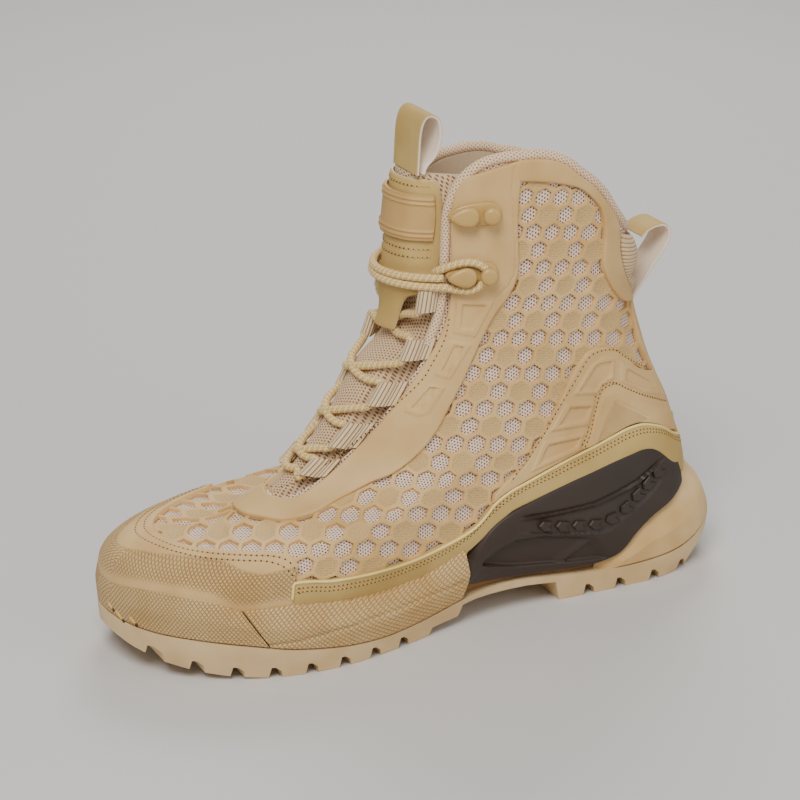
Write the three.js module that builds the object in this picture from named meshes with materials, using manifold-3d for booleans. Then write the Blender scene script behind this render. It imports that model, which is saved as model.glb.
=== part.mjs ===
// Hiking boot, left foot. Millimetres, Z up, toe toward -Y, outer side of the foot toward +X.
import * as THREE from 'three';
import Module from 'manifold-3d';

const wasm = await Module();
wasm.setup();

// Driving sizes
const LENGTH = 306;          // sole, heel to toe
const BALL = 100;            // upper across the ball of the foot
const COLLAR = 220;          // outer collar above the floor
const SOLE = 72;             // height up to which the sole's wall is described
const WALL = 2.8;            // upper's wall
const TONGUE = 6;            // tongue thickness
const INSOLE = 4;            // insole thickness
const SKIN_GAP = 0.5;        // overlay above the upper
const HEM_GAP = 0.9;         // the same where the upper bends sharply
const OVERLAY = 1.3;         // overlay thickness
const FIT = 0.4;             // between neighbouring pieces
const SIDE_GAP = 0.7;        // between the sole's side pieces and what is behind them
const THINNEST = 1.1;        // thinnest edge of a side piece
const LACE = 3.6;            // lace diameter
const LOOP = 1.6;            // webbing of the lace loops, thickness
const HOOK = 25;             // speed hook, length
const STRAP = 1.5;           // pull tab thickness
const TONGUE_PULL = 23;      // its width at the tongue
const HEEL_PULL = 17;        // its width at the heel
const BINDING = 2.1;         // collar binding, radius
const BELLOWS = 4.8;         // fullness of the bellows' larger pad
const TAIL = 6.2;            // height of the tongue strap's free tail over the tongue
const NOTCH = 6;             // notch between two lugs at the tread's edge
const CHANNEL = 4;           // channels along the tread, width and depth

// The upper's last, ring by ring from the sole to the collar.
// y as a share of LENGTH, z of COLLAR, half widths and reaches of BALL.
// frontY frontZ backY backZ | heel waist ball half widths | toe reach, toe power, heel reach | inner side's share
const LAST = [
  [-.471, .123, .448, .164, .350, .340, .480, .60, 2.10, .36, .97],
  [-.481, .157, .454, .214, .365, .360, .505, .60, 2.10, .37, .96],
  [-.481, .197, .448, .268, .365, .370, .510, .62, 2.05, .38, .93],
  [-.464, .230, .435, .323, .355, .375, .495, .70, 1.92, .39, .85],
  [-.430, .245, .422, .373, .345, .375, .470, .82, 1.85, .40, .72],
  [-.359, .250, .405, .423, .335, .370, .425, 1.05, 1.70, .41, .62],
  [-.268, .282, .389, .473, .330, .365, .380, 1.05, 1.66, .42, .66],
  [-.186, .366, .374, .532, .330, .360, .350, .90, 1.75, .43, .78],
  [-.114, .477, .359, .600, .335, .360, .340, .68, 1.85, .43, .93],
  [-.062, .605, .350, .677, .340, .355, .330, .54, 1.95, .42, .98],
  [-.039, .741, .348, .773, .345, .360, .330, .50, 1.95, .42, 1],
  [-.026, .877, .353, .886, .340, .365, .330, .48, 1.95, .42, 1],
  [-.016, 1.009, .363, 1.009, .325, .360, .320, .48, 1.95, .42, 1],
].map(([a, b, c, d, ...w]) => [a * LENGTH, b * COLLAR, c * LENGTH, d * COLLAR,
  w[0] * BALL, w[1] * BALL, w[2] * BALL, w[3] * BALL, w[4], w[5] * BALL, w[6]]);

// The sole's outer wall in seven even steps of SOLE from the floor, same columns without the heights.
const LEVEL = SOLE / 6;
const SOLE_WALL = [
  [-.484, .482, .385, .330, .525, .78, 2.05, .42, .98],
  [-.490, .502, .415, .365, .560, .75, 2.08, .44, .98],
  [-.492, .507, .430, .395, .575, .72, 2.10, .44, .98],
  [-.493, .492, .430, .415, .562, .64, 2.10, .43, .98],
  [-.487, .468, .412, .425, .540, .64, 2.10, .42, .96],
  [-.478, .450, .400, .425, .500, .66, 2.05, .42, .93],
  [-.460, .440, .390, .420, .480, .72, 2.00, .42, .90],
].map(([a, c, h, w, b, tr, tn, hr, ms], k) => [a * LENGTH, k * LEVEL, c * LENGTH, k * LEVEL,
  h * BALL, w * BALL, b * BALL, tr * BALL, tn, hr * BALL, ms]);

// Curve of the foot seen from above: y, sideways shift of the centre line
const BEND = [[-.49, -.05], [-.359, -.02], [-.261, .01], [-.163, .025], [0, .036], [.163, .03], [.327, .01],
  [.444, 0]]  .map(([y, x]) => [y * LENGTH, x * BALL]);

const clamp = (t, a = 0, b = 1) => Math.min(b, Math.max(a, t));
const lerp = (a, b, t) => a + (b - a) * t;
const smooth = (a, b, t) => { const u = clamp((t - a) / (b - a)); return u * u * (3 - 2 * u); };
const rad = (d) => d * Math.PI / 180;

// Smooth curve through the rows of a table, t counted in rows
function rowAt(rows, t) {
  const n = rows.length - 1;
  const i = clamp(Math.floor(t), 0, n - 1);
  const f = t - i;
  return rows[i].map((p1, k) => {
    const p2 = rows[i + 1][k];
    const p0 = i === 0 ? 2 * p1 - p2 : rows[i - 1][k];
    const p3 = i === n - 1 ? 2 * p2 - p1 : rows[i + 2][k];
    return .5 * (2 * p1 + (p2 - p0) * f + (2 * p0 - 5 * p1 + 4 * p2 - p3) * f * f
      + (3 * p1 - p0 - 3 * p2 + p3) * f * f * f);
  });
}

// Smooth value at x in a two-column table
function valueAt(rows, x) {
  let i = 0;
  while (i < rows.length - 2 && x > rows[i + 1][0]) i++;
  const slope = (k) => {
    const a = rows[Math.max(k - 1, 0)], b = rows[Math.min(k + 1, rows.length - 1)];
    return (b[1] - a[1]) / (b[0] - a[0]);
  };
  const h = rows[i + 1][0] - rows[i][0];
  const u = clamp((x - rows[i][0]) / h);
  return (2 * u ** 3 - 3 * u * u + 1) * rows[i][1] + (u ** 3 - 2 * u * u + u) * h * slope(i)
    + (3 * u * u - 2 * u ** 3) * rows[i + 1][1] + (u ** 3 - u * u) * h * slope(i + 1);
}

const roundEnd = (d, reach, power) => (1 - (1 - clamp(d / reach)) ** power) ** (1 / power);

// Point on a ring. turn: 0 at the heel, 90 at the outer side, 180 at the toe, -90 at the inner side.
function ringPoint(turn, ring, rows) {
  const [fy, fz, by, bz, heel, waist, ball0, reach0, power, heelReach, inner] = rowAt(rows, ring);
  const s = (1 - Math.cos(rad(turn))) / 2;
  const side = Math.sin(rad(turn)) < -1e-9 ? -1 : 1;
  const ball = side < 0 ? ball0 * inner : ball0;
  const reach = side < 0 ? reach0 * 1.4 : reach0;
  const long = Math.hypot(fy - by, fz - bz);
  const y = lerp(by, fy, s), z = lerp(bz, fz, s);
  let w = lerp(heel, waist, smooth(.14, .45, s));
  w += (ball - w) * smooth(.40, side > 0 ? .73 : .79, s);
  const arch = smooth(.15, .4, s) * (1 - smooth(.5, .75, s)) * (1 - smooth(.18 * COLLAR, .5 * COLLAR, z));
  if (side < 0) w -= .025 * BALL * arch;
  w *= roundEnd(s * long, heelReach, 2.1) * roundEnd((1 - s) * long, reach, power);
  return new THREE.Vector3(side * w + valueAt(BEND, y) * (1 - smooth(.27 * COLLAR, .64 * COLLAR, z)), y, z);
}

// Point off a ring surface, lifted outward
function lifted(turn, ring, lift, rows = LAST) {
  const p = ringPoint(turn, ring, rows);
  if (!lift) return p;
  const a = ringPoint(turn + 1.2, ring, rows).sub(ringPoint(turn - 1.2, ring, rows));
  const b = ringPoint(turn, ring + .02, rows).sub(ringPoint(turn, ring - .02, rows));
  return p.addScaledVector(b.cross(a).normalize(), lift);
}
const skin = (turn, ring, lift = 0) => lifted(turn, ring, lift, LAST);

// The sole's wall at a height, and the upper or midsole surface behind it at that height
const wall = (turn, z, lift = 0) => lifted(turn, z / LEVEL, lift, SOLE_WALL);
function behindWall(turn, z) {
  if (z <= ringPoint(turn, 0, LAST).z) {
    const p = skin(turn, 0, SIDE_GAP);
    return new THREE.Vector3(p.x, p.y, z);
  }
  let lo = 0, hi = 8;
  for (let k = 0; k < 24; k++) {
    const mid = (lo + hi) / 2;
    if (ringPoint(turn, mid, LAST).z < z) lo = mid; else hi = mid;
  }
  return skin(turn, lo, SIDE_GAP);
}
// Turn on the sole's wall of a point given in side view
function wallTurn(y, z) {
  const [fy, , by] = rowAt(SOLE_WALL, z / LEVEL);
  return Math.acos(clamp(1 - 2 * (by - y) / (by - fy), -1, 1)) * 180 / Math.PI;
}
// Turn on the upper of a point at a ring with a given x
function turnAtX(ring, x) {
  let lo = 100, hi = 180;
  const side = Math.sign(x) || 1;
  for (let k = 0; k < 24; k++) {
    const mid = (lo + hi) / 2;
    if (Math.abs(ringPoint(side * mid, ring, LAST).x) > Math.abs(x)) lo = mid; else hi = mid;
  }
  return side > 0 ? lo : 360 - lo;
}

// Closed body between two grids of points; the grids may run round in their first direction
function bodyBetween(outer, inner, round = false) {
  const n = outer.length, m = outer[0].length;
  const points = [], index = [];
  for (const grid of [outer, inner]) for (const row of grid) for (const p of row) points.push(p);
  const id = (g, i, j) => g * n * m + (i % n) * m + j;
  const quad = (a, b, c, d) => index.push(a, b, c, a, c, d);
  for (let i = 0; i < (round ? n : n - 1); i++) {
    for (let j = 0; j < m - 1; j++) {
      quad(id(0, i, j), id(0, i + 1, j), id(0, i + 1, j + 1), id(0, i, j + 1));
      quad(id(1, i, j), id(1, i, j + 1), id(1, i + 1, j + 1), id(1, i + 1, j));
    }
    quad(id(0, i, 0), id(1, i, 0), id(1, i + 1, 0), id(0, i + 1, 0));
    quad(id(0, i, m - 1), id(0, i + 1, m - 1), id(1, i + 1, m - 1), id(1, i, m - 1));
  }
  if (!round) for (let j = 0; j < m - 1; j++) {
    quad(id(0, 0, j), id(0, 0, j + 1), id(1, 0, j + 1), id(1, 0, j));
    quad(id(0, n - 1, j), id(1, n - 1, j), id(1, n - 1, j + 1), id(0, n - 1, j + 1));
  }
  return fromPoints(points, index);
}

function fromPoints(points, index) {
  let volume = 0;
  for (let k = 0; k < index.length; k += 3) {
    const [a, b, c] = [points[index[k]], points[index[k + 1]], points[index[k + 2]]];
    volume += a.dot(b.clone().cross(c));
  }
  if (volume < 0) for (let k = 0; k < index.length; k += 3) {
    [index[k + 1], index[k + 2]] = [index[k + 2], index[k + 1]];
  }
  const geometry = new THREE.BufferGeometry();
  geometry.setAttribute('position', new THREE.Float32BufferAttribute(points.flatMap((p) => p.toArray()), 3));
  geometry.setIndex(index);
  return geometry;
}

// Tube along a curve, capped at both ends
function tube(path, radius, sides = 8) {
  const rings = [];
  let side = null;
  path.forEach((p, i) => {
    const t = path[Math.min(i + 1, path.length - 1)].clone().sub(path[Math.max(i - 1, 0)]).normalize();
    if (!side) side = new THREE.Vector3(.3, .2, 1).cross(t).normalize();
    side.sub(t.clone().multiplyScalar(side.dot(t))).normalize();
    const up = t.clone().cross(side);
    rings.push(Array.from({ length: sides }, (_, k) => {
      const a = 2 * Math.PI * k / sides;
      return p.clone().addScaledVector(side, radius * Math.cos(a)).addScaledVector(up, radius * Math.sin(a));
    }));
  });
  const points = rings.flat(), index = [], n = rings.length;
  for (let i = 0; i < n - 1; i++) for (let k = 0; k < sides; k++) {
    const a = i * sides + k, b = i * sides + (k + 1) % sides;
    index.push(a, b, b + sides, a, b + sides, a + sides);
  }
  for (let k = 1; k < sides - 1; k++) {
    index.push(0, k + 1, k, (n - 1) * sides, (n - 1) * sides + k, (n - 1) * sides + k + 1);
  }
  return fromPoints(points, index);
}

// Flat strap along a path in the boot's middle plane, given as [y, z] points
function strap(path, halfWidth, thick, middle = 0) {
  const n = path.length;
  const edge = (lift) => path.map(([y, z], i) => {
    const [a, b] = [path[Math.max(i - 1, 0)], path[Math.min(i + 1, n - 1)]];
    const l = Math.hypot(b[0] - a[0], b[1] - a[1]);
    const ny = -(b[1] - a[1]) / l, nz = (b[0] - a[0]) / l;
    return [-halfWidth, 0, halfWidth].map((x) => new THREE.Vector3(middle + x, y + ny * lift, z + nz * lift));
  });
  return bodyBetween(edge(thick / 2), edge(-thick / 2));
}

// Joins and cuts
function toSolid(geometry) {
  const p = geometry.attributes.position.array;
  const mesh = new wasm.Mesh({ numProp: 3, vertProperties: new Float32Array(p),
    triVerts: new Uint32Array(geometry.index.array) });
  mesh.merge();
  return new wasm.Manifold(mesh);
}
function fromSolid(solid) {
  const mesh = solid.getMesh();
  const geometry = new THREE.BufferGeometry();
  geometry.setAttribute('position', new THREE.Float32BufferAttribute(Array.from(mesh.vertProperties), 3));
  geometry.setIndex(Array.from(mesh.triVerts));
  return geometry;
}
function joined(list) {
  return fromSolid(list.map(toSolid).reduce((a, b) => a.add(b)));
}

// Prism across the boot from a side-view outline [y, z]
function acrossPrism(outline, halfWidth = 90, centre = 0) {
  const points = [], index = [], n = outline.length;
  for (const x of [centre - halfWidth, centre + halfWidth]) {
    for (const [y, z] of outline) points.push(new THREE.Vector3(x, y, z));
  }
  const faces = THREE.ShapeUtils.triangulateShape(outline.map(([y, z]) => new THREE.Vector2(y, z)), []);
  for (const [a, b, c] of faces) index.push(a, c, b, n + a, n + b, n + c);
  for (let i = 0; i < n; i++) {
    const j = (i + 1) % n;
    index.push(i, j, n + j, i, n + j, n + i);
  }
  return fromPoints(points, index);
}

// Panel on a surface. ribs: [turn, level, turn, level] across the panel, row by row along it.
function panel(ribs, { along = 2, across = 4, lift = SKIN_GAP, thick = OVERLAY, surface = skin, edge = .55 } = {}) {
  const outer = [], inner = [], n = (ribs.length - 1) * along;
  for (let i = 0; i <= n; i++) {
    const [ta, la, tb, lb] = rowAt(ribs, i / along);
    const rowOut = [], rowIn = [];
    for (let j = 0; j <= across; j++) {
      const b = j / across;
      const turn = lerp(ta, tb, b), level = lerp(la, lb, b);
      const full = (j === 0 || j === across || i === 0 || i === n) ? edge : 1;
      rowOut.push(surface(turn, level, lift + thick * full));
      rowIn.push(surface(turn, level, lift));
    }
    outer.push(rowOut); inner.push(rowIn);
  }
  return bodyBetween(outer, inner);
}
const mirrored = (ribs) => ribs.map(([a, b, c, d]) => [-a, b, -c, d]);
// Ribs given for the outer side, carried on round the toe (end turn 180) or the heel (end turn 0)
const roundToe = (ribs) => [...ribs,
  ...ribs.slice(0, -1).reverse().map(([a, b, c, d]) => [360 - a, b, 360 - c, d])];
const roundHeel = (ribs) => [...ribs, ...mirrored(ribs.slice(0, -1)).reverse()];

// Thick rubber piece standing out from the upper and midsole to the sole's wall.
// ribs: [turn, z, turn, z] from its bottom edge to its top edge, z as a share of SOLE, 0 lying on the tread;
// top: share of the thickness left at the top edge
function wallPiece(ribs, { along = 2, across = 5, top = .3, bottom = 1, lift = 0, ends = 1 } = {}) {
  const outer = [], inner = [], n = (ribs.length - 1) * along;
  for (let i = 0; i <= n; i++) {
    const [ta, low, tb, zb] = rowAt(ribs, i / along);
    const za = low > 0 ? low * SOLE : treadTop(ringPoint(ta, 1.5, SOLE_WALL).y) + 2 * FIT;
    const rowOut = [], rowIn = [];
    for (let j = 0; j <= across; j++) {
      const b = j / across;
      const turn = lerp(ta, tb, b), z = lerp(za, zb * SOLE, b);
      const back = behindWall(turn, z), face = wall(turn, z, lift);
      let full = lerp(top, 1, Math.sqrt(clamp((1 - b) * 2.2))) * lerp(bottom, 1, Math.sqrt(clamp(b * 3)));
      if (i === 0 || i === n) full *= ends;
      const depth = Math.max(face.distanceTo(back), THINNEST);
      const dir = face.clone().sub(back).normalize();
      rowOut.push(back.clone().addScaledVector(dir, Math.max(depth * full, THINNEST)));
      rowIn.push(back);
    }
    outer.push(rowOut); inner.push(rowIn);
  }
  return bodyBetween(outer, inner);
}
// Ribs given in side view as shares of LENGTH and SOLE, turned into turns on the wall
const onWall = (rows) => rows.map(([ya, za, yb, zb]) => [wallTurn(ya * LENGTH, (za || .25) * SOLE), za,
  wallTurn(yb * LENGTH, zb * SOLE), zb]);

// Top edge of the tread, seen from the side
const sideView = (rows, high) => rows.map(([y, z]) => [y * LENGTH, z * high]);
const TREAD_TOP = sideView([[-.5, .326], [-.458, .306], [-.412, .292], [-.34, .25], [-.291, .208], [-.229, .167],
  [-.16, .136], [-.108, .132], [-.049, .153], [.016, .194], [.065, .214], [.124, .217], [.186, .189], [.245, .167],
  [.327, .16], [.412, .208], [.48, .319], [.51, .389]], SOLE);
const treadTop = (y) => valueAt(TREAD_TOP, y);

// Tread: lug notches as shares of LENGTH, and the side view of its underside
const NOTCHES = [-.454, -.405, -.353, -.301, -.248, -.196, -.144, -.092, .242, .297, .359, .418];
const UNDERSIDE = sideView([[-.523, .306], [-.497, .229], [-.477, .174], [-.444, .111], [-.399, .056], [-.353, .019],
  [-.314, .003], [-.294, 0], [-.042, 0], [-.039, .056], [.01, .069], [.016, .153], [.039, .167], [.131, .167],
  [.18, .147], [.191, 0], [.431, 0], [.461, .042], [.487, .118], [.523, .25]], SOLE);
const treadTopLine = (lift) => Array.from({ length: 65 }, (_, k) => {
  const y = lerp(.523, -.523, k / 64) * LENGTH;
  return [y, treadTop(y) + lift];
});
function tread() {
  const rows = [];
  for (let i = 0; i < 48; i++) {
    const turn = i * 360 / 48;
    rows.push([0, .6, 1.3, 2.4].map((r) => ringPoint(turn > 180 ? turn - 360 : turn, r, SOLE_WALL)));
  }
  const points = rows.flat(), index = [], m = 4, n = 48;
  for (let i = 0; i < n; i++) for (let j = 0; j < m - 1; j++) {
    const a = i * m + j, b = ((i + 1) % n) * m + j;
    index.push(a, b, b + 1, a, b + 1, a + 1);
  }
  const low = points.length;
  points.push(new THREE.Vector3(0, 0, 0), new THREE.Vector3(0, 0, 2.4 * LEVEL));
  for (let i = 0; i < n; i++) {
    const a = i * m, b = ((i + 1) % n) * m;
    index.push(low, b, a, low + 1, a + m - 1, b + m - 1);
  }
  const slab = toSolid(fromPoints(points, index));
  let solid = slab.intersect(toSolid(acrossPrism([...UNDERSIDE, ...treadTopLine(0)])));
  const floor = (y) => { // height of the tread's underside
    let k = 0;
    while (k < UNDERSIDE.length - 2 && y > UNDERSIDE[k + 1][0]) k++;
    const [a, b] = [UNDERSIDE[k], UNDERSIDE[k + 1]];
    return lerp(a[1], b[1], (y - a[0]) / (b[0] - a[0]));
  };
  for (const share of NOTCHES) {
    const y = share * LENGTH, z = floor(y), n = NOTCH;
    solid = solid.subtract(toSolid(acrossPrism([[y - .53 * n, z - n / 2], [y + .63 * n, z - n / 2],
      [y + .37 * n, z + .53 * n], [y - .1 * n, z + .93 * n], [y - .4 * n, z + .93 * n]])));
  }
  for (const x of [-.21 * BALL, .21 * BALL]) {
    for (const [a, b, shift] of [[-.386 * LENGTH, -.052 * LENGTH, .02 * BALL], [.203 * LENGTH, .425 * LENGTH, 0]]) {
      const run = .75 * CHANNEL;
      const slot = [[a, -run], [b, -run], [b - run, CHANNEL], [a + run, CHANNEL]];
      solid = solid.subtract(toSolid(acrossPrism(slot, CHANNEL / 2, x + shift)));
    }
  }
  return fromSolid(solid);
}

// Midsole: the upper's footprint between tread and foot
function midsole() {
  const n = 48, outline = [];
  for (let i = 0; i < n; i++) outline.push(skin(i * 360 / n, 0, 0));
  const points = [], index = [];
  for (const z of [0, SOLE]) outline.forEach((p) => points.push(new THREE.Vector3(p.x, p.y, z)));
  for (let i = 1; i < n - 1; i++) index.push(0, i + 1, i, n, n + i, n + i + 1);
  for (let i = 0; i < n; i++) {
    const j = (i + 1) % n;
    index.push(i, j, n + j, i, n + j, n + i);
  }
  const top = treadTopLine(0).map(([y, z]) => [y, Math.max(footbed(y) - FIT, z + 2 * FIT)]).reverse();
  const side = [...top, ...treadTopLine(FIT)];
  return fromSolid(toSolid(fromPoints(points, index)).intersect(toSolid(acrossPrism(side.reverse()))));
}
const footbed = (y) => {
  const [fy, fz, by, bz] = LAST[0];
  return lerp(bz, fz, (by - y) / (by - fy));
};

// Insole inside the upper
function insole() {
  const n = 40, low = FIT / 2, high = INSOLE + low, points = [], index = [];
  const at = (p, up) => new THREE.Vector3(p.x, p.y, footbed(p.y) + up);
  for (let i = 0; i < n; i++) {
    const turn = (i * 360 / n + 180) % 360 - 180;
    points.push(at(skin(turn, .12, -(WALL + 3 * FIT)), low), at(skin(turn, .42, -(WALL + 4 * FIT)), high));
  }
  points.push(at({ x: .02 * BALL, y: 0 }, low), at({ x: .02 * BALL, y: 0 }, high));
  for (let i = 0; i < n; i++) {
    const a = i * 2, b = ((i + 1) % n) * 2, c = n * 2;
    index.push(a, b, b + 1, a, b + 1, a + 1, c, b, a, c + 1, a + 1, b + 1);
  }
  return fromPoints(points, index);
}

// Edge of the opening: turn and ring from the heel round the collar and down the throat to the toe end
const OPENING = [[0, 9.82], [18, 9.86], [32, 10.04], [44, 10.33], [54, 10.66], [61, 10.92], [69, 11.16],
  [77, 11.36], [85, 11.57], [95, 11.7], [104, 11.71], [114, 11.7], [124, 11.6], [132.5, 11.33], [136, 10.95],
  [135.5, 10.5], [134, 10], [133, 9.5], [134.8, 8.95], [139, 8.3], [143, 7.6], [147, 6.9], [150, 6.48],
  [157, 6.22], [168, 6.28], [180, 6.36]];
// The inner side's collar is lower at the front
const innerOpening = OPENING.map(([t, r]) => [t, r - .5 * smooth(52, 96, t) * smooth(9.8, 11.2, r)]);

function openingAt(share, inner) {
  const table = inner ? innerOpening : OPENING;
  // even steps along the edge
  const steps = 8, n = (table.length - 1) * steps, pts = [], lengths = [0];
  for (let i = 0; i <= n; i++) pts.push(rowAt(table, i / steps));
  for (let i = 1; i <= n; i++) {
    lengths.push(lengths[i - 1] + skin(pts[i][0], pts[i][1]).distanceTo(skin(pts[i - 1][0], pts[i - 1][1])));
  }
  const want = share * lengths[n];
  let i = 1;
  while (i < n && lengths[i] < want) i++;
  const f = (want - lengths[i - 1]) / (lengths[i] - lengths[i - 1]);
  return [lerp(pts[i - 1][0], pts[i][0], f), lerp(pts[i - 1][1], pts[i][1], f)];
}

// Upper: one shell, open at the collar, down the throat and underneath
function upper() {
  const half = 27, rows = 14, columns = [];
  const bottomTurn = (share) => { // even steps round the bottom ring
    const lengths = [0];
    for (let i = 1; i <= 180; i++) lengths.push(lengths[i - 1] + skin(i, .5).distanceTo(skin(i - 1, .5)));
    let i = 1;
    while (i < 180 && lengths[i] < share * lengths[180]) i++;
    return i - 1 + (share * lengths[180] - lengths[i - 1]) / (lengths[i] - lengths[i - 1]);
  };
  for (let i = 0; i <= half; i++) columns.push([1, bottomTurn(i / half), openingAt(i / half, false)]);
  for (let i = half - 1; i > 0; i--) columns.push([-1, bottomTurn(i / half), openingAt(i / half, true)]);
  const grid = (lift) => columns.map(([side, low, [turn, ring]]) => Array.from({ length: rows + 1 }, (_, j) => {
    const t = j / rows;
    return skin(side * lerp(low, turn, t), ring * t, lift);
  }));
  return bodyBetween(grid(0), grid(-WALL), true);
}

// Tongue: padded, under the throat's edges, fuller in the middle
const throatTurn = (ring) => valueAt([[6.3, 158], [6.6, 149], [7.6, 143], [8.3, 139], [8.9, 135], [9.5, 134],
  [10, 136], [10.6, 138], [11.1, 139], [12, 139]], ring);
// Ring and lift of the tongue's middle line, as a share of BALL
const TONGUE_MIDDLE = [[6.7, -.039], [7.4, -.008], [8.5, -.008], [9.15, -.086], [9.6, -.08], [9.9, -.02],
  [10.4, -.007], [12, -.007]];
const UNDER_THROAT = WALL + FIT + SIDE_GAP;
const tongueLift = (turn, ring) => {
  const t = turn > 180 ? 360 - turn : turn;
  const edge = throatTurn(ring);
  return lerp(-UNDER_THROAT, valueAt(TONGUE_MIDDLE, ring) * BALL, smooth(.1, .6, (t - edge) / (180 - edge)));
};
function tongue() {
  const outer = [], inner = [], rows = 20, across = 8;
  for (let i = 0; i <= rows; i++) {
    const ring = lerp(6.12, 11.5, i / rows);
    const edge = throatTurn(ring) - lerp(6, 10, i / rows);
    const rowOut = [], rowIn = [];
    for (let j = 0; j <= across; j++) {
      const turn = lerp(edge, 360 - edge, j / across);
      const lift = tongueLift(turn, ring);
      const thick = (j === 0 || j === across || i === 0 || i === rows) ? TONGUE / 2 : TONGUE;
      rowOut.push(skin(turn, ring, lift));
      rowIn.push(skin(turn, ring, Math.min(lift, -UNDER_THROAT) - thick));
    }
    outer.push(rowOut); inner.push(rowIn);
  }
  return bodyBetween(outer, inner);
}
const onTongue = (turn, ring, lift) => skin(turn, ring, tongueLift(turn, ring) + lift);
// Strip on the tongue, rows of ring, left x and right x as shares of BALL; its tail is raised over the lace
const tailLift = (ring) => TAIL * (1 - smooth(9.6, 10.05, ring));
function tongueStrip(rows, lift, thick, along = 2, across = 6) {
  const surface = (turn, ring, off) => skin(turn, ring, tongueLift(turn, ring) + tailLift(ring) + off);
  return panel(rows.map(([ring, a, b]) => [turnAtX(ring, b * BALL), ring, turnAtX(ring, a * BALL), ring]),
    { along, across, lift, thick, surface, edge: .6 });
}

// Padded bellows at the back of the collar
function bellows() {
  const outer = [], inner = [], rows = 10, across = 8;
  const halfTurn = (u) => valueAt([[0, 15], [.15, 19.5], [.35, 28], [.6, 36.5], [.85, 41], [1, 41]], u);
  for (let i = 0; i <= rows; i++) {
    const u = i / rows, rowOut = [], rowIn = [];
    for (let j = 0; j <= across; j++) {
      const a = 2 * j / across - 1;
      const turn = a * halfTurn(u);
      const ring = lerp(8.2, 9.74 + .34 * a * a, u);
      const lobe = u < .4 ? .7 * Math.sin(Math.PI * u / .4) ** .6 : Math.sin(Math.PI * (u - .4) / .6) ** .6;
      const puff = OVERLAY + BELLOWS * Math.sqrt(1 - a * a) * Math.max(0, lobe || 0);
      rowOut.push(skin(turn, ring, SKIN_GAP + puff));
      rowIn.push(skin(turn, ring, SKIN_GAP));
    }
    outer.push(rowOut); inner.push(rowIn);
  }
  return bodyBetween(outer, inner);
}

// Rolled binding along the opening's edge, from the outer throat round the heel to the inner throat
function binding() {
  const path = [], n = 27;
  const rim = (share, inner) => {
    const [turn, ring] = openingAt(share, inner);
    const side = inner ? -1 : 1;
    const [t2, r2] = openingAt(Math.max(share - .01, 0), inner);
    const [t3, r3] = openingAt(Math.min(share + .01, 1), inner);
    const p = skin(side * turn, ring, -WALL / 2);
    const run = skin(side * t3, r3, -WALL / 2).sub(skin(side * t2, r2, -WALL / 2));
    const out = skin(side * turn, ring, 1).sub(skin(side * turn, ring, 0));
    const away = run.cross(out).normalize().multiplyScalar(side);
    return p.addScaledVector(away, BINDING + SKIN_GAP);
  };
  const last = .66;
  for (let i = n; i >= 0; i--) path.push(rim(last * i / n, false));
  for (let i = 1; i <= n; i++) path.push(rim(last * i / n, true));
  return tube(path, BINDING, 5);
}

// Overlays on the upper, as ribs [turn, ring, turn, ring]
const TOE_CAP = [[124, 1.0, 122.8, 2.6], [129, 1.12, 125.3, 3.15], [134, 1.1, 129, 3.46], [138, 1.3, 134, 3.6],
  [141.5, 1.68, 140, 3.73], [146, 1.9, 148, 3.89], [153, 2.05, 158, 4.1], [163, 2.03, 168, 4.28],
  [180, 1.75, 180, 4.38]];
const MUDGUARD = [[121.9, .85, 121.2, 1.85], [118, .72, 117.5, 1.62], [112, .42, 111, 1.42], [106, .3, 105, 1.27],
  [100, .28, 98, 1.18], [94, .33, 92, 1.27], [89, .5, 85.5, 1.51], [85.5, .95, 82, 1.89], [81.5, 1.55, 80, 2.37],
  [78, 2.03, 77, 2.79], [75, 2.38, 73, 3.04], [69, 2.6, 68, 3.31], [61, 2.82, 61.5, 3.58], [53, 3.02, 53, 3.81],
  [45, 3.2, 45, 4.05], [40, 3.27, 40, 4.04], [35, 3.12, 36, 3.85], [29, 2.72, 30, 3.42], [22, 2.05, 23, 2.75],
  [14, 1.45, 15, 2.35], [7, 1.33, 7.5, 2.24], [0, 1.3, 0, 2.2]];
const COUNTER = [[79.6, 2.66, 79.3, 2.86], [77, 2.98, 76, 3.6], [73, 3.25, 73, 4.1], [68, 3.52, 72, 5.1],
  [63, 3.72, 70.5, 6.2], [57, 3.92, 68, 7.1], [51, 4.06, 64, 7.57], [45, 4.26, 59, 7.73], [41, 4.28, 51, 7.57],
  [37, 4.14, 42, 7.12], [31, 3.72, 35, 6.5], [25, 3.14, 27, 5.9], [13, 2.6, 14.6, 5.3]];
const BACK_STAY = [[10.5, 2.42, -10.5, 2.42], [11.2, 4.4, -11.2, 4.4], [12.6, 5.7, -12.6, 5.7], [16, 6.8, -16, 6.8],
  [16.5, 8.05, -16.5, 8.05]];
const EYESTAY = [[132, 11.5, 104.5, 11.74], [136, 11.2, 104.7, 11.3], [136, 10.7, 104.2, 10.75],
  [134, 10.3, 102.5, 10.3],
  [132.4, 9.9, 101.2, 9.9], [131.3, 9.5, 104, 9.55], [131.8, 9.2, 109.5, 9.22], [133.4, 8.85, 113, 8.7],
  [136.4, 8.4, 114, 8.15], [139.2, 7.95, 114.5, 7.7], [141.6, 7.5, 114, 7.15], [143.6, 7.1, 115, 6.75],
  [145.2, 6.75, 119, 6.33], [147, 6.42, 125, 6.18], [150, 6.17, 130, 5.8], [155, 6.04, 132, 5.35],
  [162, 6.06, 139, 5.27], [171, 6.16, 153, 5.62], [180, 6.22, 180, 5.9]];
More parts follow.
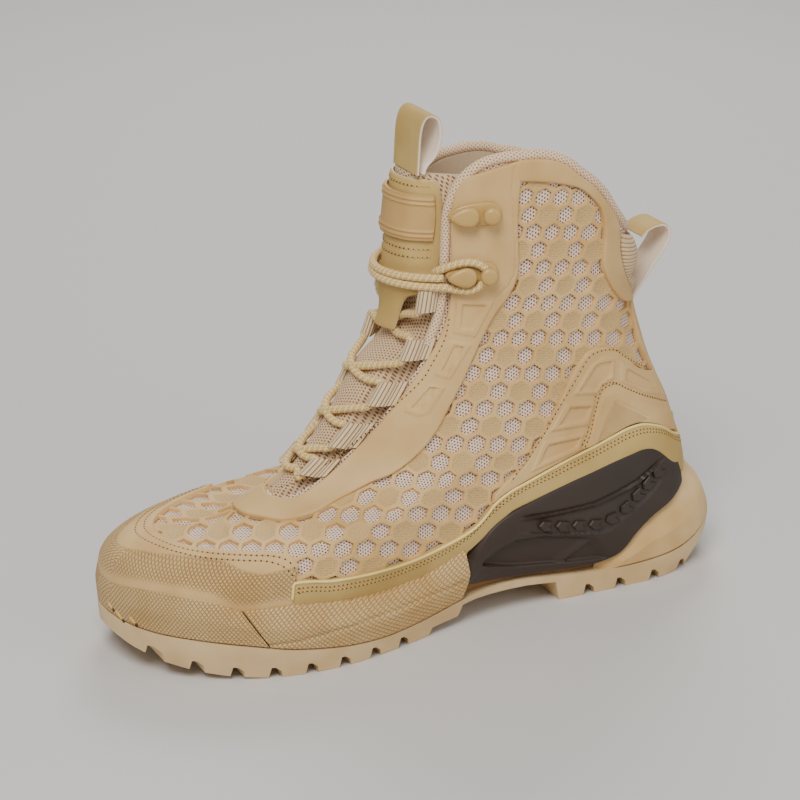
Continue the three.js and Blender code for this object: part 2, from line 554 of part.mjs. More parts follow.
const COLLAR_OVERLAY = [[103.2, 11.74, 102.8, 11.4], [95, 11.72, 96, 11.36], [85, 11.6, 84, 11.27],
  [77, 11.38, 75, 11.14],
  [69, 11.18, 68.5, 10.96], [62, 10.94, 62.6, 10.74], [54.5, 10.68, 59, 10.5], [47.5, 10.4, 57.3, 10.2],
  [44, 10.1, 57, 9.85], [43, 9.8, 56.5, 9.6], [38.5, 9.38, 53.5, 9.35], [31.5, 8.93, 47, 8.95], [24, 8.5, 37, 8.5],
  [18.6, 8.1, 24, 8.2]];
const lowered = (ribs) => ribs.map(([a, b, c, d]) => [-a, b - .5 * smooth(52, 96, a) * smooth(9.8, 11.2, b),
  -c, d - .5 * smooth(52, 96, c) * smooth(9.8, 11.2, d)]);

// Rubber pieces on the sole's wall, side view: bottom edge y, z, top edge y, z, as shares of LENGTH and SOLE
const SIDE_FOXING = [[-.312, 0, -.35, .479], [-.275, 0, -.294, .486], [-.222, 0, -.229, .458],
  [-.17, 0, -.17, .431],
  [-.118, 0, -.118, .424], [-.065, 0, -.059, .431], [-.023, 0, -.016, .465], [.012, 0, .024, .528]];
const BUMPER = [[-.317, 0, -.355, .476], [-.353, 0, -.379, .535], [-.386, 0, -.405, .569], [-.422, 0, -.431, .59],
  [-.454, 0, -.458, .59]];
const HEEL_CUP = [[.292, 0, .299, .236], [.307, 0, .324, .306], [.327, 0, .346, .411], [.353, 0, .377, .489],
  [.382, 0, .402, .553]];
const CLIP = [[.02, .292, .025, .326], [.039, .278, .038, .41], [.065, .267, .051, .528], [.098, .256, .069, .632],
  [.137, .247, .101, .715],
  [.176, .236, .147, .778], [.216, .222, .196, .828], [.255, .217, .242, .867], [.294, .257, .288, .908],
  [.322, .375, .327, .931], [.353, .479, .359, .925], [.389, .549, .389, .869], [.415, .618, .412, .799]];

// Speed hook: a tear-shaped plate with a stud at one end and a lip over the lace
function hook(turn, ring, inner) {
  const side = inner ? -1 : 1, h = HOOK;
  const at = skin(side * turn, ring, SKIN_GAP + OVERLAY + 2 * FIT);
  const out = skin(side * turn, ring, 1).sub(skin(side * turn, ring, 0)).normalize();
  const along = new THREE.Vector3(0, -1, 0).sub(out.clone().multiplyScalar(-out.y)).normalize();
  const place = new THREE.Matrix4().makeBasis(along, out.clone().cross(along), out).setPosition(at);
  const tear = new THREE.Shape(); // blunt end at the stud, point toward the lace
  tear.moveTo(-.24 * h, .21 * h);
  tear.bezierCurveTo(.08 * h, .22 * h, .44 * h, .18 * h, .52 * h, 0);
  tear.bezierCurveTo(.44 * h, -.18 * h, .08 * h, -.22 * h, -.24 * h, -.21 * h);
  tear.bezierCurveTo(-.5 * h, -.18 * h, -.5 * h, .18 * h, -.24 * h, .21 * h);
  const rim = .024 * h;
  const plate = new THREE.ExtrudeGeometry(tear, { depth: 2 * rim, bevelEnabled: true, bevelThickness: rim,
    bevelSize: rim, bevelOffset: -rim, bevelSegments: 1, curveSegments: 3 }).translate(0, 0, rim);
  const stud = new THREE.LatheGeometry([[0, 0], [.13, 0], [.13, .2], [.156, .216], [.156, .264], [.104, .304], [0, .32]]
    .map(([r, z]) => new THREE.Vector2(r * h, z * h)), 9).rotateX(Math.PI / 2).translate(-.24 * h, 0, .04 * h);
  const lip = new THREE.Shape();
  lip.moveTo(.49 * h, 0);
  lip.bezierCurveTo(.44 * h, .184 * h, .16 * h, .2 * h, 0, .136 * h);
  lip.lineTo(.04 * h, 0);
  lip.lineTo(0, -.136 * h);
  lip.bezierCurveTo(.16 * h, -.2 * h, .44 * h, -.184 * h, .49 * h, 0);
  const cap = new THREE.ExtrudeGeometry(lip, { depth: .056 * h, bevelEnabled: false, curveSegments: 3 })
    .translate(0, 0, .216 * h);
  const post = new THREE.CylinderGeometry(.088 * h, .112 * h, .184 * h, 8).rotateX(Math.PI / 2)
    .translate(.336 * h, 0, .144 * h);
  return joined([plate, stud, cap, post].map(indexed)).applyMatrix4(place);
}
// Shared corners, so that a body is closed
function indexed(geometry) {
  const p = geometry.attributes.position, map = new Map(), points = [], index = [];
  const source = geometry.index ? Array.from(geometry.index.array) : Array.from({ length: p.count }, (_, k) => k);
  const ids = source.map((k) => {
    const v = [p.getX(k), p.getY(k), p.getZ(k)];
    const key = v.map((c) => Math.round(c * 1e4)).join(' ');
    if (!map.has(key)) { map.set(key, points.length); points.push(new THREE.Vector3(...v)); }
    return map.get(key);
  });
  for (let k = 0; k < ids.length; k += 3) {
    const [a, b, c] = [ids[k], ids[k + 1], ids[k + 2]];
    if (a !== b && b !== c && a !== c) index.push(a, b, c);
  }
  return fromPoints(points, index);
}

// Webbing lace loops along the throat: turn, ring of the middle
const EYESTAY_LIFT = HEM_GAP + .3, EYESTAY_TOP = EYESTAY_LIFT + OVERLAY;
const LOOPS = [[139, 9.6], [139.5, 8.82], [144.5, 8.1], [149, 7.38], [152, 6.78]];
function laceLoop(k, inner) {
  const [turn, ring] = LOOPS[k];
  const side = inner ? -1 : 1;
  const wide = [.17, .17, .2, .22, .17][k];
  const ribs = [-9, -4, 1, 4.5].map((t) => [side * (turn + t), ring - wide, side * (turn + t), ring + wide]);
  const surface = (t, r, lift) => {
    const share = smooth(turn - 9, turn - 2, Math.abs(t));
    return skin(t, r, lerp(EYESTAY_TOP + 2 * FIT, OVERLAY, share) + lift);
  };
  return panel(ribs, { along: 1, across: 3, lift: 0, thick: LOOP, surface, edge: .8 });
}

// Lace over the tongue: the crossings are one joined solid, so are the two turns between the lower hooks
const laceNode = (k, inner) => [inner ? 360 - LOOPS[k][0] - 8 : LOOPS[k][0] + 8, LOOPS[k][1]];
function laceStrand([turnA, ringA], [turnB, ringB], middle, ends = EYESTAY_TOP + FIT, steps = 7) {
  const path = [];
  for (let i = 0; i <= steps; i++) {
    const u = i / steps, ring = lerp(ringA, ringB, u);
    const turn = lerp(turnA, turnB, u);
    path.push(skin(turn, ring, lerp(ends, middle(turn, ring), smooth(0, .24, Math.min(u, 1 - u)))));
  }
  return tube(path, LACE / 2, 5);
}
function laceCrossings() {
  const middle = (turn, ring) => tongueLift(turn, ring) + LACE / 2 + 2 * FIT;
  const strands = [laceStrand(laceNode(4, false), laceNode(4, true), middle)];
  for (let k = 4; k > 0; k--) {
    strands.push(laceStrand(laceNode(k, false), laceNode(k - 1, true), middle));
    strands.push(laceStrand(laceNode(k, true), laceNode(k - 1, false), middle));
  }
  return joined(strands);
}
function laceTurns() {
  const over = LACE / 2 + OVERLAY + 3 * FIT;
  const strand = (from, to) => laceStrand([137, from], [223, to], () => over, over);
  return joined([strand(9.88, 9.84), strand(9.92, 9.99)]);
}

const colours = {
  tan: 0xcdb18b, khaki: 0xb89f6c, rubber: 0xc9ad86, tread: 0xd0b794, clip: 0x3e322b, mesh: 0xd9c8b2,
  binding: 0xd8c8b4,
  lace: 0xdcc896, loop: 0xd6c6aa, inside: 0x9a866c, hook: 0xc7a877,
};
const boot = new THREE.Group();
boot.name = 'hiking_boot';
function add(name, geometry, colour, roughness = .8) {
  const mesh = new THREE.Mesh(geometry, new THREE.MeshStandardMaterial({ color: colours[colour], roughness }));
  mesh.name = name;
  boot.add(mesh);
}

// Sole
add('outsole', tread(), 'tread');
add('midsole', midsole(), 'rubber');
const bumperRibs = [...onWall(BUMPER), [164, 0, 164, .569], [180, 0, 180, .542]];
add('toe_bumper', wallPiece(roundToe(bumperRibs), { across: 4 }), 'rubber');
add('side_foxing_outer', wallPiece(onWall(SIDE_FOXING)), 'rubber');
add('side_foxing_inner', wallPiece(mirrored(onWall(SIDE_FOXING))), 'rubber');
const clipWall = { along: 1, across: 4, top: .5, bottom: .8 };
add('shank_clip_outer', wallPiece(onWall(CLIP), clipWall), 'clip', .5);
add('shank_clip_inner', wallPiece(mirrored(onWall(CLIP)), clipWall), 'clip', .5);
const heelRibs = [...onWall(HEEL_CUP), [28, 0, 27, .618], [18, 0, 17, .66], [0, 0, 0, .681]];
add('heel_cup', wallPiece(roundHeel(heelRibs), { across: 4 }), 'tread');
add('insole', insole(), 'inside');

// Upper and what lies on it
add('upper', upper(), 'mesh');
add('tongue', tongue(), 'mesh');
add('toe_cap', panel(roundToe(TOE_CAP), { across: 4, lift: HEM_GAP }), 'tan');
add('mudguard', panel(roundHeel(MUDGUARD), { along: 1, across: 2, lift: HEM_GAP }), 'khaki');
add('heel_counter_outer', panel(COUNTER, { across: 4, along: 1, lift: HEM_GAP }), 'tan');
add('heel_counter_inner', panel(mirrored(COUNTER), { across: 4, along: 1, lift: HEM_GAP }), 'tan');
add('back_stay', panel(BACK_STAY, { along: 2, across: 3 }), 'tan');
const innerEyestay = lowered(EYESTAY.slice(0, -1)).map(([a, b, c, d]) => [360 + a, b, 360 + c, d]).reverse();
const eyestayRibs = [...EYESTAY, ...innerEyestay];
add('eyestay', panel(eyestayRibs, { across: 3, along: 2, lift: EYESTAY_LIFT }), 'tan');
add('collar_overlay_outer', panel(COLLAR_OVERLAY, { across: 2, along: 1, lift: HEM_GAP }), 'tan');
add('collar_overlay_inner', panel(lowered(COLLAR_OVERLAY), { across: 2, along: 1, lift: HEM_GAP }), 'tan');
add('collar_bellows', bellows(), 'binding');
add('collar_binding', binding(), 'binding');

// Tongue trim and pull tabs
const STRAP_LIFT = 2 * FIT, BADGE_LIFT = STRAP_LIFT + OVERLAY + 2 * FIT;
add('tongue_strap', tongueStrip([[9.12, -.03, .11], [9.4, -.05, .115], [9.62, -.08, .14], [9.8, -.135, .215],
  [10.3, -.135, .22], [10.9, -.13, .215], [11.2, -.12, .205], [11.42, -.11, .185]], STRAP_LIFT, OVERLAY), 'khaki');
add('tongue_badge', tongueStrip([[10.5, -.125, .2], [10.85, -.125, .2], [11.2, -.115, .19]], BADGE_LIFT, OVERLAY),
  'tan');
const tonguePullPath = [[-.014, .9455], [-.012, .991], [-.01, 1.027], [-.005, 1.052], [.005, 1.063], [.018, 1.055],
  [.023, 1.034], [.022, 1.007], [.014, .98], [0, .96], [-.004, .9455]];
add('tongue_pull', strap(sideView(tonguePullPath, COLLAR), TONGUE_PULL / 2, STRAP, .04 * BALL), 'khaki');
const heelPullPath = [[.366, .594], [.373, .609], [.386, .63], [.402, .66], [.418, .688], [.428, .711], [.429, .73],
  [.422, .744], [.408, .747], [.392, .741], [.38, .728]];
add('heel_pull', strap(sideView(heelPullPath, COLLAR), HEEL_PULL / 2, STRAP), 'khaki');

// Fastening
for (const inner of [false, true]) {
  const side = inner ? 'inner' : 'outer';
  LOOPS.forEach((_, k) => add(`lace_loop_${side}_${k + 1}`, laceLoop(k, inner), 'loop'));
  add(`speed_hook_${side}_lower`, hook(122, 10.0, inner), 'hook', .5);
  add(`speed_hook_${side}_upper`, hook(124, inner ? 10.72 : 10.95, inner), 'hook', .5);
}
add('lace_crossings', laceCrossings(), 'lace');
add('lace_turns', laceTurns(), 'lace');

// Stand the boot on the floor, centred
const box = new THREE.Box3().setFromObject(boot);
const shift = new THREE.Vector3((box.min.x + box.max.x) / 2, (box.min.y + box.max.y) / 2, box.min.z).negate();
for (const mesh of boot.children) mesh.geometry.translate(shift.x, shift.y, shift.z);
boot.userData.shift = shift.toArray();

export default boot;
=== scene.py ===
"""Hiking boot, left foot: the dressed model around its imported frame.

Lengths are millimetres in the last's own axes, Z up, toe toward -Y, outer side toward +X,
and become metres in the frame when a mesh is made.
"""
import math

import bmesh
import bpy
from mathutils import Matrix, Vector


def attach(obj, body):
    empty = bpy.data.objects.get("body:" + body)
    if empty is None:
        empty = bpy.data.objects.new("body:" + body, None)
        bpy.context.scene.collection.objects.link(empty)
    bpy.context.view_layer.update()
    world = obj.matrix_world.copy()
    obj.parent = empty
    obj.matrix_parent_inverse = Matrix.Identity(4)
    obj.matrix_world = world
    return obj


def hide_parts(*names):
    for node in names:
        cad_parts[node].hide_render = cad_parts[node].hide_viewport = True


bl_info = {
    "name": "Hiking boot",
    "version": (1, 0, 0),
    "blender": (4, 5, 0),
    "location": "View3D > Sidebar > Boot",
    "description": "Builds a mid-height hiking boot piece by piece",
    "category": "Object",
}

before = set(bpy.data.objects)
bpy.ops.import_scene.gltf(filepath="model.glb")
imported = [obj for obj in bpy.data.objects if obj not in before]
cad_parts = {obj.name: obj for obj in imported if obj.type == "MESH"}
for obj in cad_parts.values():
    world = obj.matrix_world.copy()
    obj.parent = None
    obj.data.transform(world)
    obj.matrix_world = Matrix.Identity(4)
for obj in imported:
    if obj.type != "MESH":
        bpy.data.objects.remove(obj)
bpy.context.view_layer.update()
MM = 0.001

# Sizes of the boot, as in its frame
LENGTH, BALL, COLLAR, SOLE = 306.0, 100.0, 220.0, 72.0
LEVEL = SOLE / 6
WALL = 2.8
HEM_GAP, OVERLAY, FIT = 0.9, 1.3, 0.4
LACE, BINDING, PIPING = 3.6, 2.1, .62  # across, then two radii
ORIGIN = Vector((-3.09, -1.84, 0.0))  # the last's own origin in the frame

# Camera of the photograph, in the last's axes
AZIMUTH, ELEVATION, DISTANCE = 63.03, 21.5, 1250.0
FOCAL = 2748.4  # in pixels of the photograph
TARGET = Vector((0.0, -5.2, 97.7))
PHOTO = 800


def clamp(t, a=0.0, b=1.0):
    return min(b, max(a, t))


def lerp(a, b, t):
    return a + (b - a) * t


def smooth(a, b, t):
    u = clamp((t - a) / (b - a))
    return u * u * (3 - 2 * u)


def row_at(rows, t):
    """Smooth curve through the rows of a table, t counted in rows"""
    n = len(rows) - 1
    i = int(clamp(math.floor(t), 0, n - 1))
    f = t - i
    p1, p2 = rows[i], rows[i + 1]
    p0 = rows[i - 1] if i else [2 * a - b for a, b in zip(p1, p2)]
    p3 = rows[i + 2] if i < n - 1 else [2 * b - a for a, b in zip(p1, p2)]
    return [0.5 * (2 * b + (c - a) * f + (2 * a - 5 * b + 4 * c - d) * f * f
                   + (3 * b - a - 3 * c + d) * f ** 3) for a, b, c, d in zip(p0, p1, p2, p3)]


def value_at(rows, x):
    """Smooth value at x in a two-column table"""
    i = 0
    while i < len(rows) - 2 and x > rows[i + 1][0]:
        i += 1

    def slope(k):
        a, b = rows[max(k - 1, 0)], rows[min(k + 1, len(rows) - 1)]
        return (b[1] - a[1]) / (b[0] - a[0])
    h = rows[i + 1][0] - rows[i][0]
    u = clamp((x - rows[i][0]) / h)
    return ((2 * u ** 3 - 3 * u * u + 1) * rows[i][1] + (u ** 3 - 2 * u * u + u) * h * slope(i)
            + (3 * u * u - 2 * u ** 3) * rows[i + 1][1] + (u ** 3 - u * u) * h * slope(i + 1))


# The last and the sole's wall: shares of LENGTH, COLLAR (or SOLE) and BALL
LAST_ROWS = [
    [-.471, .123, .448, .164, .350, .340, .480, .60, 2.10, .36, .97],
    [-.481, .157, .454, .214, .365, .360, .505, .60, 2.10, .37, .96],
    [-.481, .197, .448, .268, .365, .370, .510, .62, 2.05, .38, .93],
    [-.464, .230, .435, .323, .355, .375, .495, .70, 1.92, .39, .85],
    [-.430, .245, .422, .373, .345, .375, .470, .82, 1.85, .40, .72],
    [-.359, .250, .405, .423, .335, .370, .425, 1.05, 1.70, .41, .62],
    [-.268, .282, .389, .473, .330, .365, .380, 1.05, 1.66, .42, .66],
    [-.186, .366, .374, .532, .330, .360, .350, .90, 1.75, .43, .78],
    [-.114, .477, .359, .600, .335, .360, .340, .68, 1.85, .43, .93],
    [-.062, .605, .350, .677, .340, .355, .330, .54, 1.95, .42, .98],
    [-.039, .741, .348, .773, .345, .360, .330, .50, 1.95, .42, 1],
    [-.026, .877, .353, .886, .340, .365, .330, .48, 1.95, .42, 1],
    [-.016, 1.009, .363, 1.009, .325, .360, .320, .48, 1.95, .42, 1],
]
WALL_ROWS = [
    [-.484, .482, .385, .330, .525, .78, 2.05, .42, .98],
    [-.490, .502, .415, .365, .560, .75, 2.08, .44, .98],
    [-.492, .507, .430, .395, .575, .72, 2.10, .44, .98],
    [-.493, .492, .430, .415, .562, .64, 2.10, .43, .98],
    [-.487, .468, .412, .425, .540, .64, 2.10, .42, .96],
    [-.478, .450, .400, .425, .500, .66, 2.05, .42, .93],
    [-.460, .440, .390, .420, .480, .72, 2.00, .42, .90],
]
BEND = [(y * LENGTH, x * BALL) for y, x in [(-.49, -.05), (-.359, -.02), (-.261, .01), (-.163, .025),
                                            (0, .036), (.163, .03), (.327, .01), (.444, 0)]]


def round_end(d, reach, power):
    return (1 - (1 - clamp(d / reach)) ** power) ** (1 / power)


class Form:
    """A surface given ring by ring. turn: 0 at the heel, 90 outer side, 180 toe, -90 inner side"""

    def __init__(self, rows):
        self.rows = rows
        self.known = {}

    def row(self, ring):
        key = round(ring, 5)
        if key not in self.known:
            self.known[key] = row_at(self.rows, ring)
        return self.known[key]

    def point(self, turn, ring):
        fy, fz, by, bz, heel, waist, ball, reach, power, heel_reach, inner = self.row(ring)
        a = math.radians(turn)
        s = (1 - math.cos(a)) / 2
        side = -1 if math.sin(a) < -1e-9 else 1
        if side < 0:
            ball *= inner
            reach *= 1.4
        span = math.hypot(fy - by, fz - bz)
        y, z = lerp(by, fy, s), lerp(bz, fz, s)
        w = lerp(heel, waist, smooth(.14, .45, s))
        w += (ball - w) * smooth(.40, .73 if side > 0 else .79, s)
        if side < 0:
            arch = smooth(.15, .4, s) * (1 - smooth(.5, .75, s)) * (1 - smooth(.18 * COLLAR, .5 * COLLAR, z))
            w -= .025 * BALL * arch
        w *= round_end(s * span, heel_reach, 2.1) * round_end((1 - s) * span, reach, power)
        x = side * w + value_at(BEND, y) * (1 - smooth(.27 * COLLAR, .64 * COLLAR, z))
        return Vector((x, y, z))

    def normal(self, turn, ring):
        a = self.point(turn + 1.2, ring) - self.point(turn - 1.2, ring)
        b = self.point(turn, ring + .02) - self.point(turn, ring - .02)
        return b.cross(a).normalized()

    def at(self, turn, ring, lift=0.0):
        p = self.point(turn, ring)
        return p + self.normal(turn, ring) * lift if lift else p


def scaled(row, high):
    """A table row's shares as millimetres; rows of the sole's wall have no heights"""
    a, b, c, d = row[:4]
    w = row[4:]
    return [a * LENGTH, b * high, c * LENGTH, d * high, w[0] * BALL, w[1] * BALL, w[2] * BALL,
            w[3] * BALL, w[4], w[5] * BALL, w[6]]


SKIN = Form([scaled(row, COLLAR) for row in LAST_ROWS])
SIDE = Form([scaled([r[0], k / 6, r[1], k / 6] + r[2:], SOLE) for k, r in enumerate(WALL_ROWS)])
skin = SKIN.at

view_back = Vector((math.sin(math.radians(AZIMUTH)) * math.cos(math.radians(ELEVATION)),
                    -math.cos(math.radians(AZIMUTH)) * math.cos(math.radians(ELEVATION)),
                    math.sin(math.radians(ELEVATION))))
view_right = (-view_back).cross(Vector((0, 0, 1))).normalized()
view_up = view_right.cross(-view_back)
view_place = TARGET + view_back * DISTANCE


def seen_at(p):
    """Pixel of the photograph at which a point shows"""
    d = p - view_place
    depth = -d.dot(view_back)
    return PHOTO / 2 + FOCAL * d.dot(view_right) / depth, PHOTO / 2 - FOCAL * d.dot(view_up) / depth


def outer_turn(turn):
    """The outer side's turn of a place, or of its mirror image on the inner side"""
    return abs((turn + 180) % 360 - 180)


def shown(turn, ring, form=SKIN):
    return seen_at(form.point(outer_turn(turn), ring))


def found(px, py, turn, ring, form=SKIN, lift=0.0):
    """Turn and ring that show at a pixel, looked for from a place near it; None where none does"""
    for _ in range(25):
        x, y = seen_at(form.at(turn, ring, lift))
        ex, ey = px - x, py - y
        if abs(ex) + abs(ey) < .02:
            return turn, ring
        ax, ay = seen_at(form.at(turn + .4, ring, lift))
        bx, by = seen_at(form.at(turn, ring + .02, lift))
        ax, ay, bx, by = (ax - x) / .4, (ay - y) / .4, (bx - x) / .02, (by - y) / .02
        det = ax * by - ay * bx
        if abs(det) < 1e-4:
            return None
        turn += clamp((ex * by - ey * bx) / det, -6, 6)
        ring += clamp((ax * ey - ay * ex) / det, -.4, .4)
    return None


# Distances in the photograph, for reliefs
def to_line(x, y, line, closed=False):
    """Distance from a pixel to a line of pixels"""
    best = 1e9
    n = len(line)
    for i in range(n if closed else n - 1):
        (ax, ay), (bx, by) = line[i], line[(i + 1) % n]
        dx, dy = bx - ax, by - ay
        t = clamp(((x - ax) * dx + (y - ay) * dy) / (dx * dx + dy * dy + 1e-9))
        best = min(best, (x - ax - t * dx) ** 2 + (y - ay - t * dy) ** 2)
    return math.sqrt(best)


def within(x, y, line):
    """Whether a pixel lies inside a closed line"""
    inside = False
    n = len(line)
    for i in range(n):
        (ax, ay), (bx, by) = line[i], line[(i + 1) % n]
        if (ay > y) != (by > y) and x < (bx - ax) * (y - ay) / (by - ay) + ax:
            inside = not inside
    return inside


def depth_in(x, y, line):
    """Pixels inside a closed line, negative outside"""
    d = to_line(x, y, line, closed=True)
    return d if within(x, y, line) else -d


def groove(d, wide, deep):
    return -deep * math.exp(-(d / wide) ** 2)


# Shading
DEEPEN = 1.5  # how far colours are pushed from grey


def tone(r, g, b):
    """A colour given as 0 to 255 on the screen, as light; deepened, as the film-like view pales it"""
    light = [((c / 255 + .055) / 1.055) ** 2.4 for c in (r, g, b)]
    grey = .21 * light[0] + .72 * light[1] + .07 * light[2]
    return tuple(clamp(grey + (c - grey) * DEEPEN, .004, .95) for c in light) + (1.0,)


class Value:
    """A number socket that takes part in Python expressions"""

    def __init__(self, look, socket):
        self.look, self.socket = look, socket

    def math(self, operation, *others):
        n = self.look.node("ShaderNodeMath", {"operation": operation}, dict(enumerate((self,) + others)))
        return Value(self.look, n.outputs[0])

    def flipped(self, operation, other):
        n = self.look.node("ShaderNodeMath", {"operation": operation}, {0: other, 1: self})
        return Value(self.look, n.outputs[0])

    def __add__(self, other):
        return self.math("ADD", other)

    def __radd__(self, other):
        return self.math("ADD", other)

    def __sub__(self, other):
        return self.math("SUBTRACT", other)

    def __rsub__(self, other):
        return self.flipped("SUBTRACT", other)

    def __mul__(self, other):
        return self.math("MULTIPLY", other)

    def __rmul__(self, other):
        return self.math("MULTIPLY", other)

    def __truediv__(self, other):
        return self.math("DIVIDE", other)

    def __neg__(self):
        return self.math("MULTIPLY", -1.0)

    def sin(self):
        return self.math("SINE")

    def cos(self):
        return self.math("COSINE")

    def abs(self):
        return self.math("ABSOLUTE")

    def min(self, other):
        return self.math("MINIMUM", other)

    def max(self, other):
        return self.math("MAXIMUM", other)

    def between(self, low, high):
        """0 below low, 1 above high, smooth in between"""
        n = self.look.node("ShaderNodeMapRange", {"interpolation_type": "SMOOTHSTEP", "clamp": True},
                           {"Value": self, "From Min": low, "From Max": high})
        return Value(self.look, n.outputs["Result"])


class Look:
    """One material and the nodes that it is made of"""

    def __init__(self, name):
        self.material = bpy.data.materials.new(name)
        self.material.use_nodes = True
        self.tree = self.material.node_tree
        self.tree.nodes.clear()

    def node(self, kind, settings=None, inputs=None):
        n = self.tree.nodes.new(kind)
        for key, value in (settings or {}).items():
            setattr(n, key, value)
        for key, value in (inputs or {}).items():
            if isinstance(value, Value):
                value = value.socket
            if isinstance(value, bpy.types.NodeSocket):
                self.tree.links.new(value, n.inputs[key])
            else:
                n.inputs[key].default_value = value
        return n

    def place(self, kind="Object", size=1000.0):
        """Coordinates in millimetres, as a vector"""
        if kind == "Object":
            source = self.node("ShaderNodeTexCoord").outputs["Object"]
        else:
            source = self.node("ShaderNodeUVMap", {"uv_map": "UVMap"}).outputs["UV"]
            size = 1.0
        return self.node("ShaderNodeVectorMath", {"operation": "SCALE"},
                         {"Vector": source, "Scale": size}).outputs["Vector"]

    def parts(self, vector):
        n = self.node("ShaderNodeSeparateXYZ", None, {0: vector})
        return [Value(self, n.outputs[k]) for k in range(3)]

    def noise(self, vector, size, detail=3.0, roughness=.55):
        """Noise from 0 to 1 with lumps of about a size"""
        n = self.node("ShaderNodeTexNoise", {"noise_dimensions": "3D"},
                      {"Vector": vector, "Scale": 1 / size, "Detail": detail, "Roughness": roughness})
        return Value(self, n.outputs[0])

    def cells(self, vector, size, random_share=1.0, feature="F1"):
        n = self.node("ShaderNodeTexVoronoi", {"feature": feature},
                      {"Vector": vector, "Scale": 1 / size, "Randomness": random_share})
        return Value(self, n.outputs["Distance"])

    def mix(self, share, a, b):
        n = self.node("ShaderNodeMix", {"data_type": "RGBA"}, {0: share, 6: a, 7: b})
        return n.outputs[2]

    def bump(self, height, deep, strength=1.0, under=None):
        """Normal from a height of 0 to 1 that stands deep millimetres"""
        inputs = {"Height": height, "Strength": strength, "Distance": deep * MM}
        if under is not None:
            inputs["Normal"] = under
        return self.node("ShaderNodeBump", None, inputs).outputs["Normal"]

    def finish(self, colour, rough=.7, normal=None, coat=0.0, coat_rough=.3, sheen=0.0, metal=0.0):
        inputs = {"Base Color": colour, "Roughness": rough, "Coat Weight": coat,
                  "Coat Roughness": coat_rough, "Sheen Weight": sheen, "Metallic": metal}
        if normal is not None:
            inputs["Normal"] = normal
        shader = self.node("ShaderNodeBsdfPrincipled", None, inputs)
        self.node("ShaderNodeOutputMaterial", None, {"Surface": shader.outputs[0]})
        return self.material


def honeycomb(x, y, pitch):
    """Three waves that meet in a triangular lattice of bumps, -1.5 to 3"""
    k = 2 * math.pi / pitch
    return (x * k).cos() + (x * (-k / 2) + y * (k * .866)).cos() + (x * (-k / 2) - y * (k * .866)).cos()


def hatch(x, y, pitch):
    """Two sets of slanting ribs that cross, 0 in the lines and 1 on the diamonds"""
    k = math.pi / pitch
    return ((x + y) * k).sin().abs().min(((x - y) * k).sin().abs())


HATCH_PITCH, RIDGE_PITCH = 2.6, .95


def leather(name, colour, shade, grain=.55, deep=.05, rough=.62, coat=.0, hatched=None,
            lined=None):
    """Smooth moulded synthetic leather. hatched: where it is cross-hatched, in millimetres across;
    lined: sides of the panel that has fine ridges, as y, z and a constant"""
    look = Look(name)
    at = look.place()
    lumps = look.noise(at, 28.0, 2.0)
    fine = look.noise(at, grain, 4.0, .6)
    wrinkle = look.cells(at, grain * 2.2, feature="SMOOTH_F1")
    base = look.mix(lumps.between(.3, .75), colour, shade)
    base = look.mix(fine.between(.62, .8) * .18, base, shade)
    normal = look.bump(fine * .6 + wrinkle * .7, deep)
    _, across, _ = look.parts(look.place("UV"))
    if hatched:
        start, end = hatched
        area = across.between(start, start + 5) * (1 - across.between(end, end + 2))
        x, y, z = look.parts(at)
        net = hatch(y + x.abs(), z * 1.1, HATCH_PITCH)
        normal = look.bump(net.between(0, .6) * area, .5, under=normal)
        # painted shade: the hatch's sunk lines are painted darker
        base = look.mix((1 - net.between(.05, .45)) * area * .4, base, tone(144, 112, 78))
    if lined:
        _, y, z = look.parts(at)
        sides = [y * a + z * b + c for a, b, c in lined]
        inside = sides[0].min(sides[1]).min(sides[2]).min(sides[3]).between(0, .5)
        stripe = (sides[0] * (math.pi / RIDGE_PITCH)).sin().abs().between(.2, .75)
        normal = look.bump(stripe * inside, .3, under=normal)
        # painted shade: the grooves between the ridges are painted darker
        base = look.mix((1 - stripe) * inside * .35, base, tone(128, 96, 60))
    return look.finish(base, fine * .1 + (rough - .05), normal, coat=coat)


def panel_sides(pixels, start):
    """Inward distances from the sides of a four-sided panel seen in the photograph, as y, z and a constant"""
    corners = [SKIN.point(*found(x, y, *start)) + ORIGIN for x, y in pixels]
    middle = sum(corners, Vector()) / len(corners)
    out = []
    for a, b in zip(corners, corners[1:] + corners[:1]):
        ny, nz = b.z - a.z, a.y - b.y
        size = math.hypot(ny, nz) * (1 if ny * (middle.y - a.y) + nz * (middle.z - a.z) > 0 else -1)
        out.append((ny / size, nz / size, -(ny * a.y + nz * a.z) / size))
    return out


# Making and finishing pieces
def dressed(bm, name, looks, slot, nodes=(), soft=None, sharp=38):
    """Object of a finished mesh, carried by the boot and standing for the frame's own nodes"""
    bmesh.ops.recalc_face_normals(bm, faces=bm.faces)
    for face in bm.faces:
        face.smooth = True
    mesh = bpy.data.meshes.new(name)
    bm.to_mesh(mesh)
    bm.free()
    mesh.set_sharp_from_angle(angle=math.radians(sharp))
    for look in looks if isinstance(looks, (list, tuple)) else [looks]:
        mesh.materials.append(look)
    piece = bpy.data.objects.new(name, mesh)
    bpy.context.scene.collection.objects.link(piece)
    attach(piece, "root")
    if nodes:
        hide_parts(*nodes)
    return piece


def framed(p):
    """A point of the last as a point of the frame, in metres"""
    return (p + ORIGIN) * MM


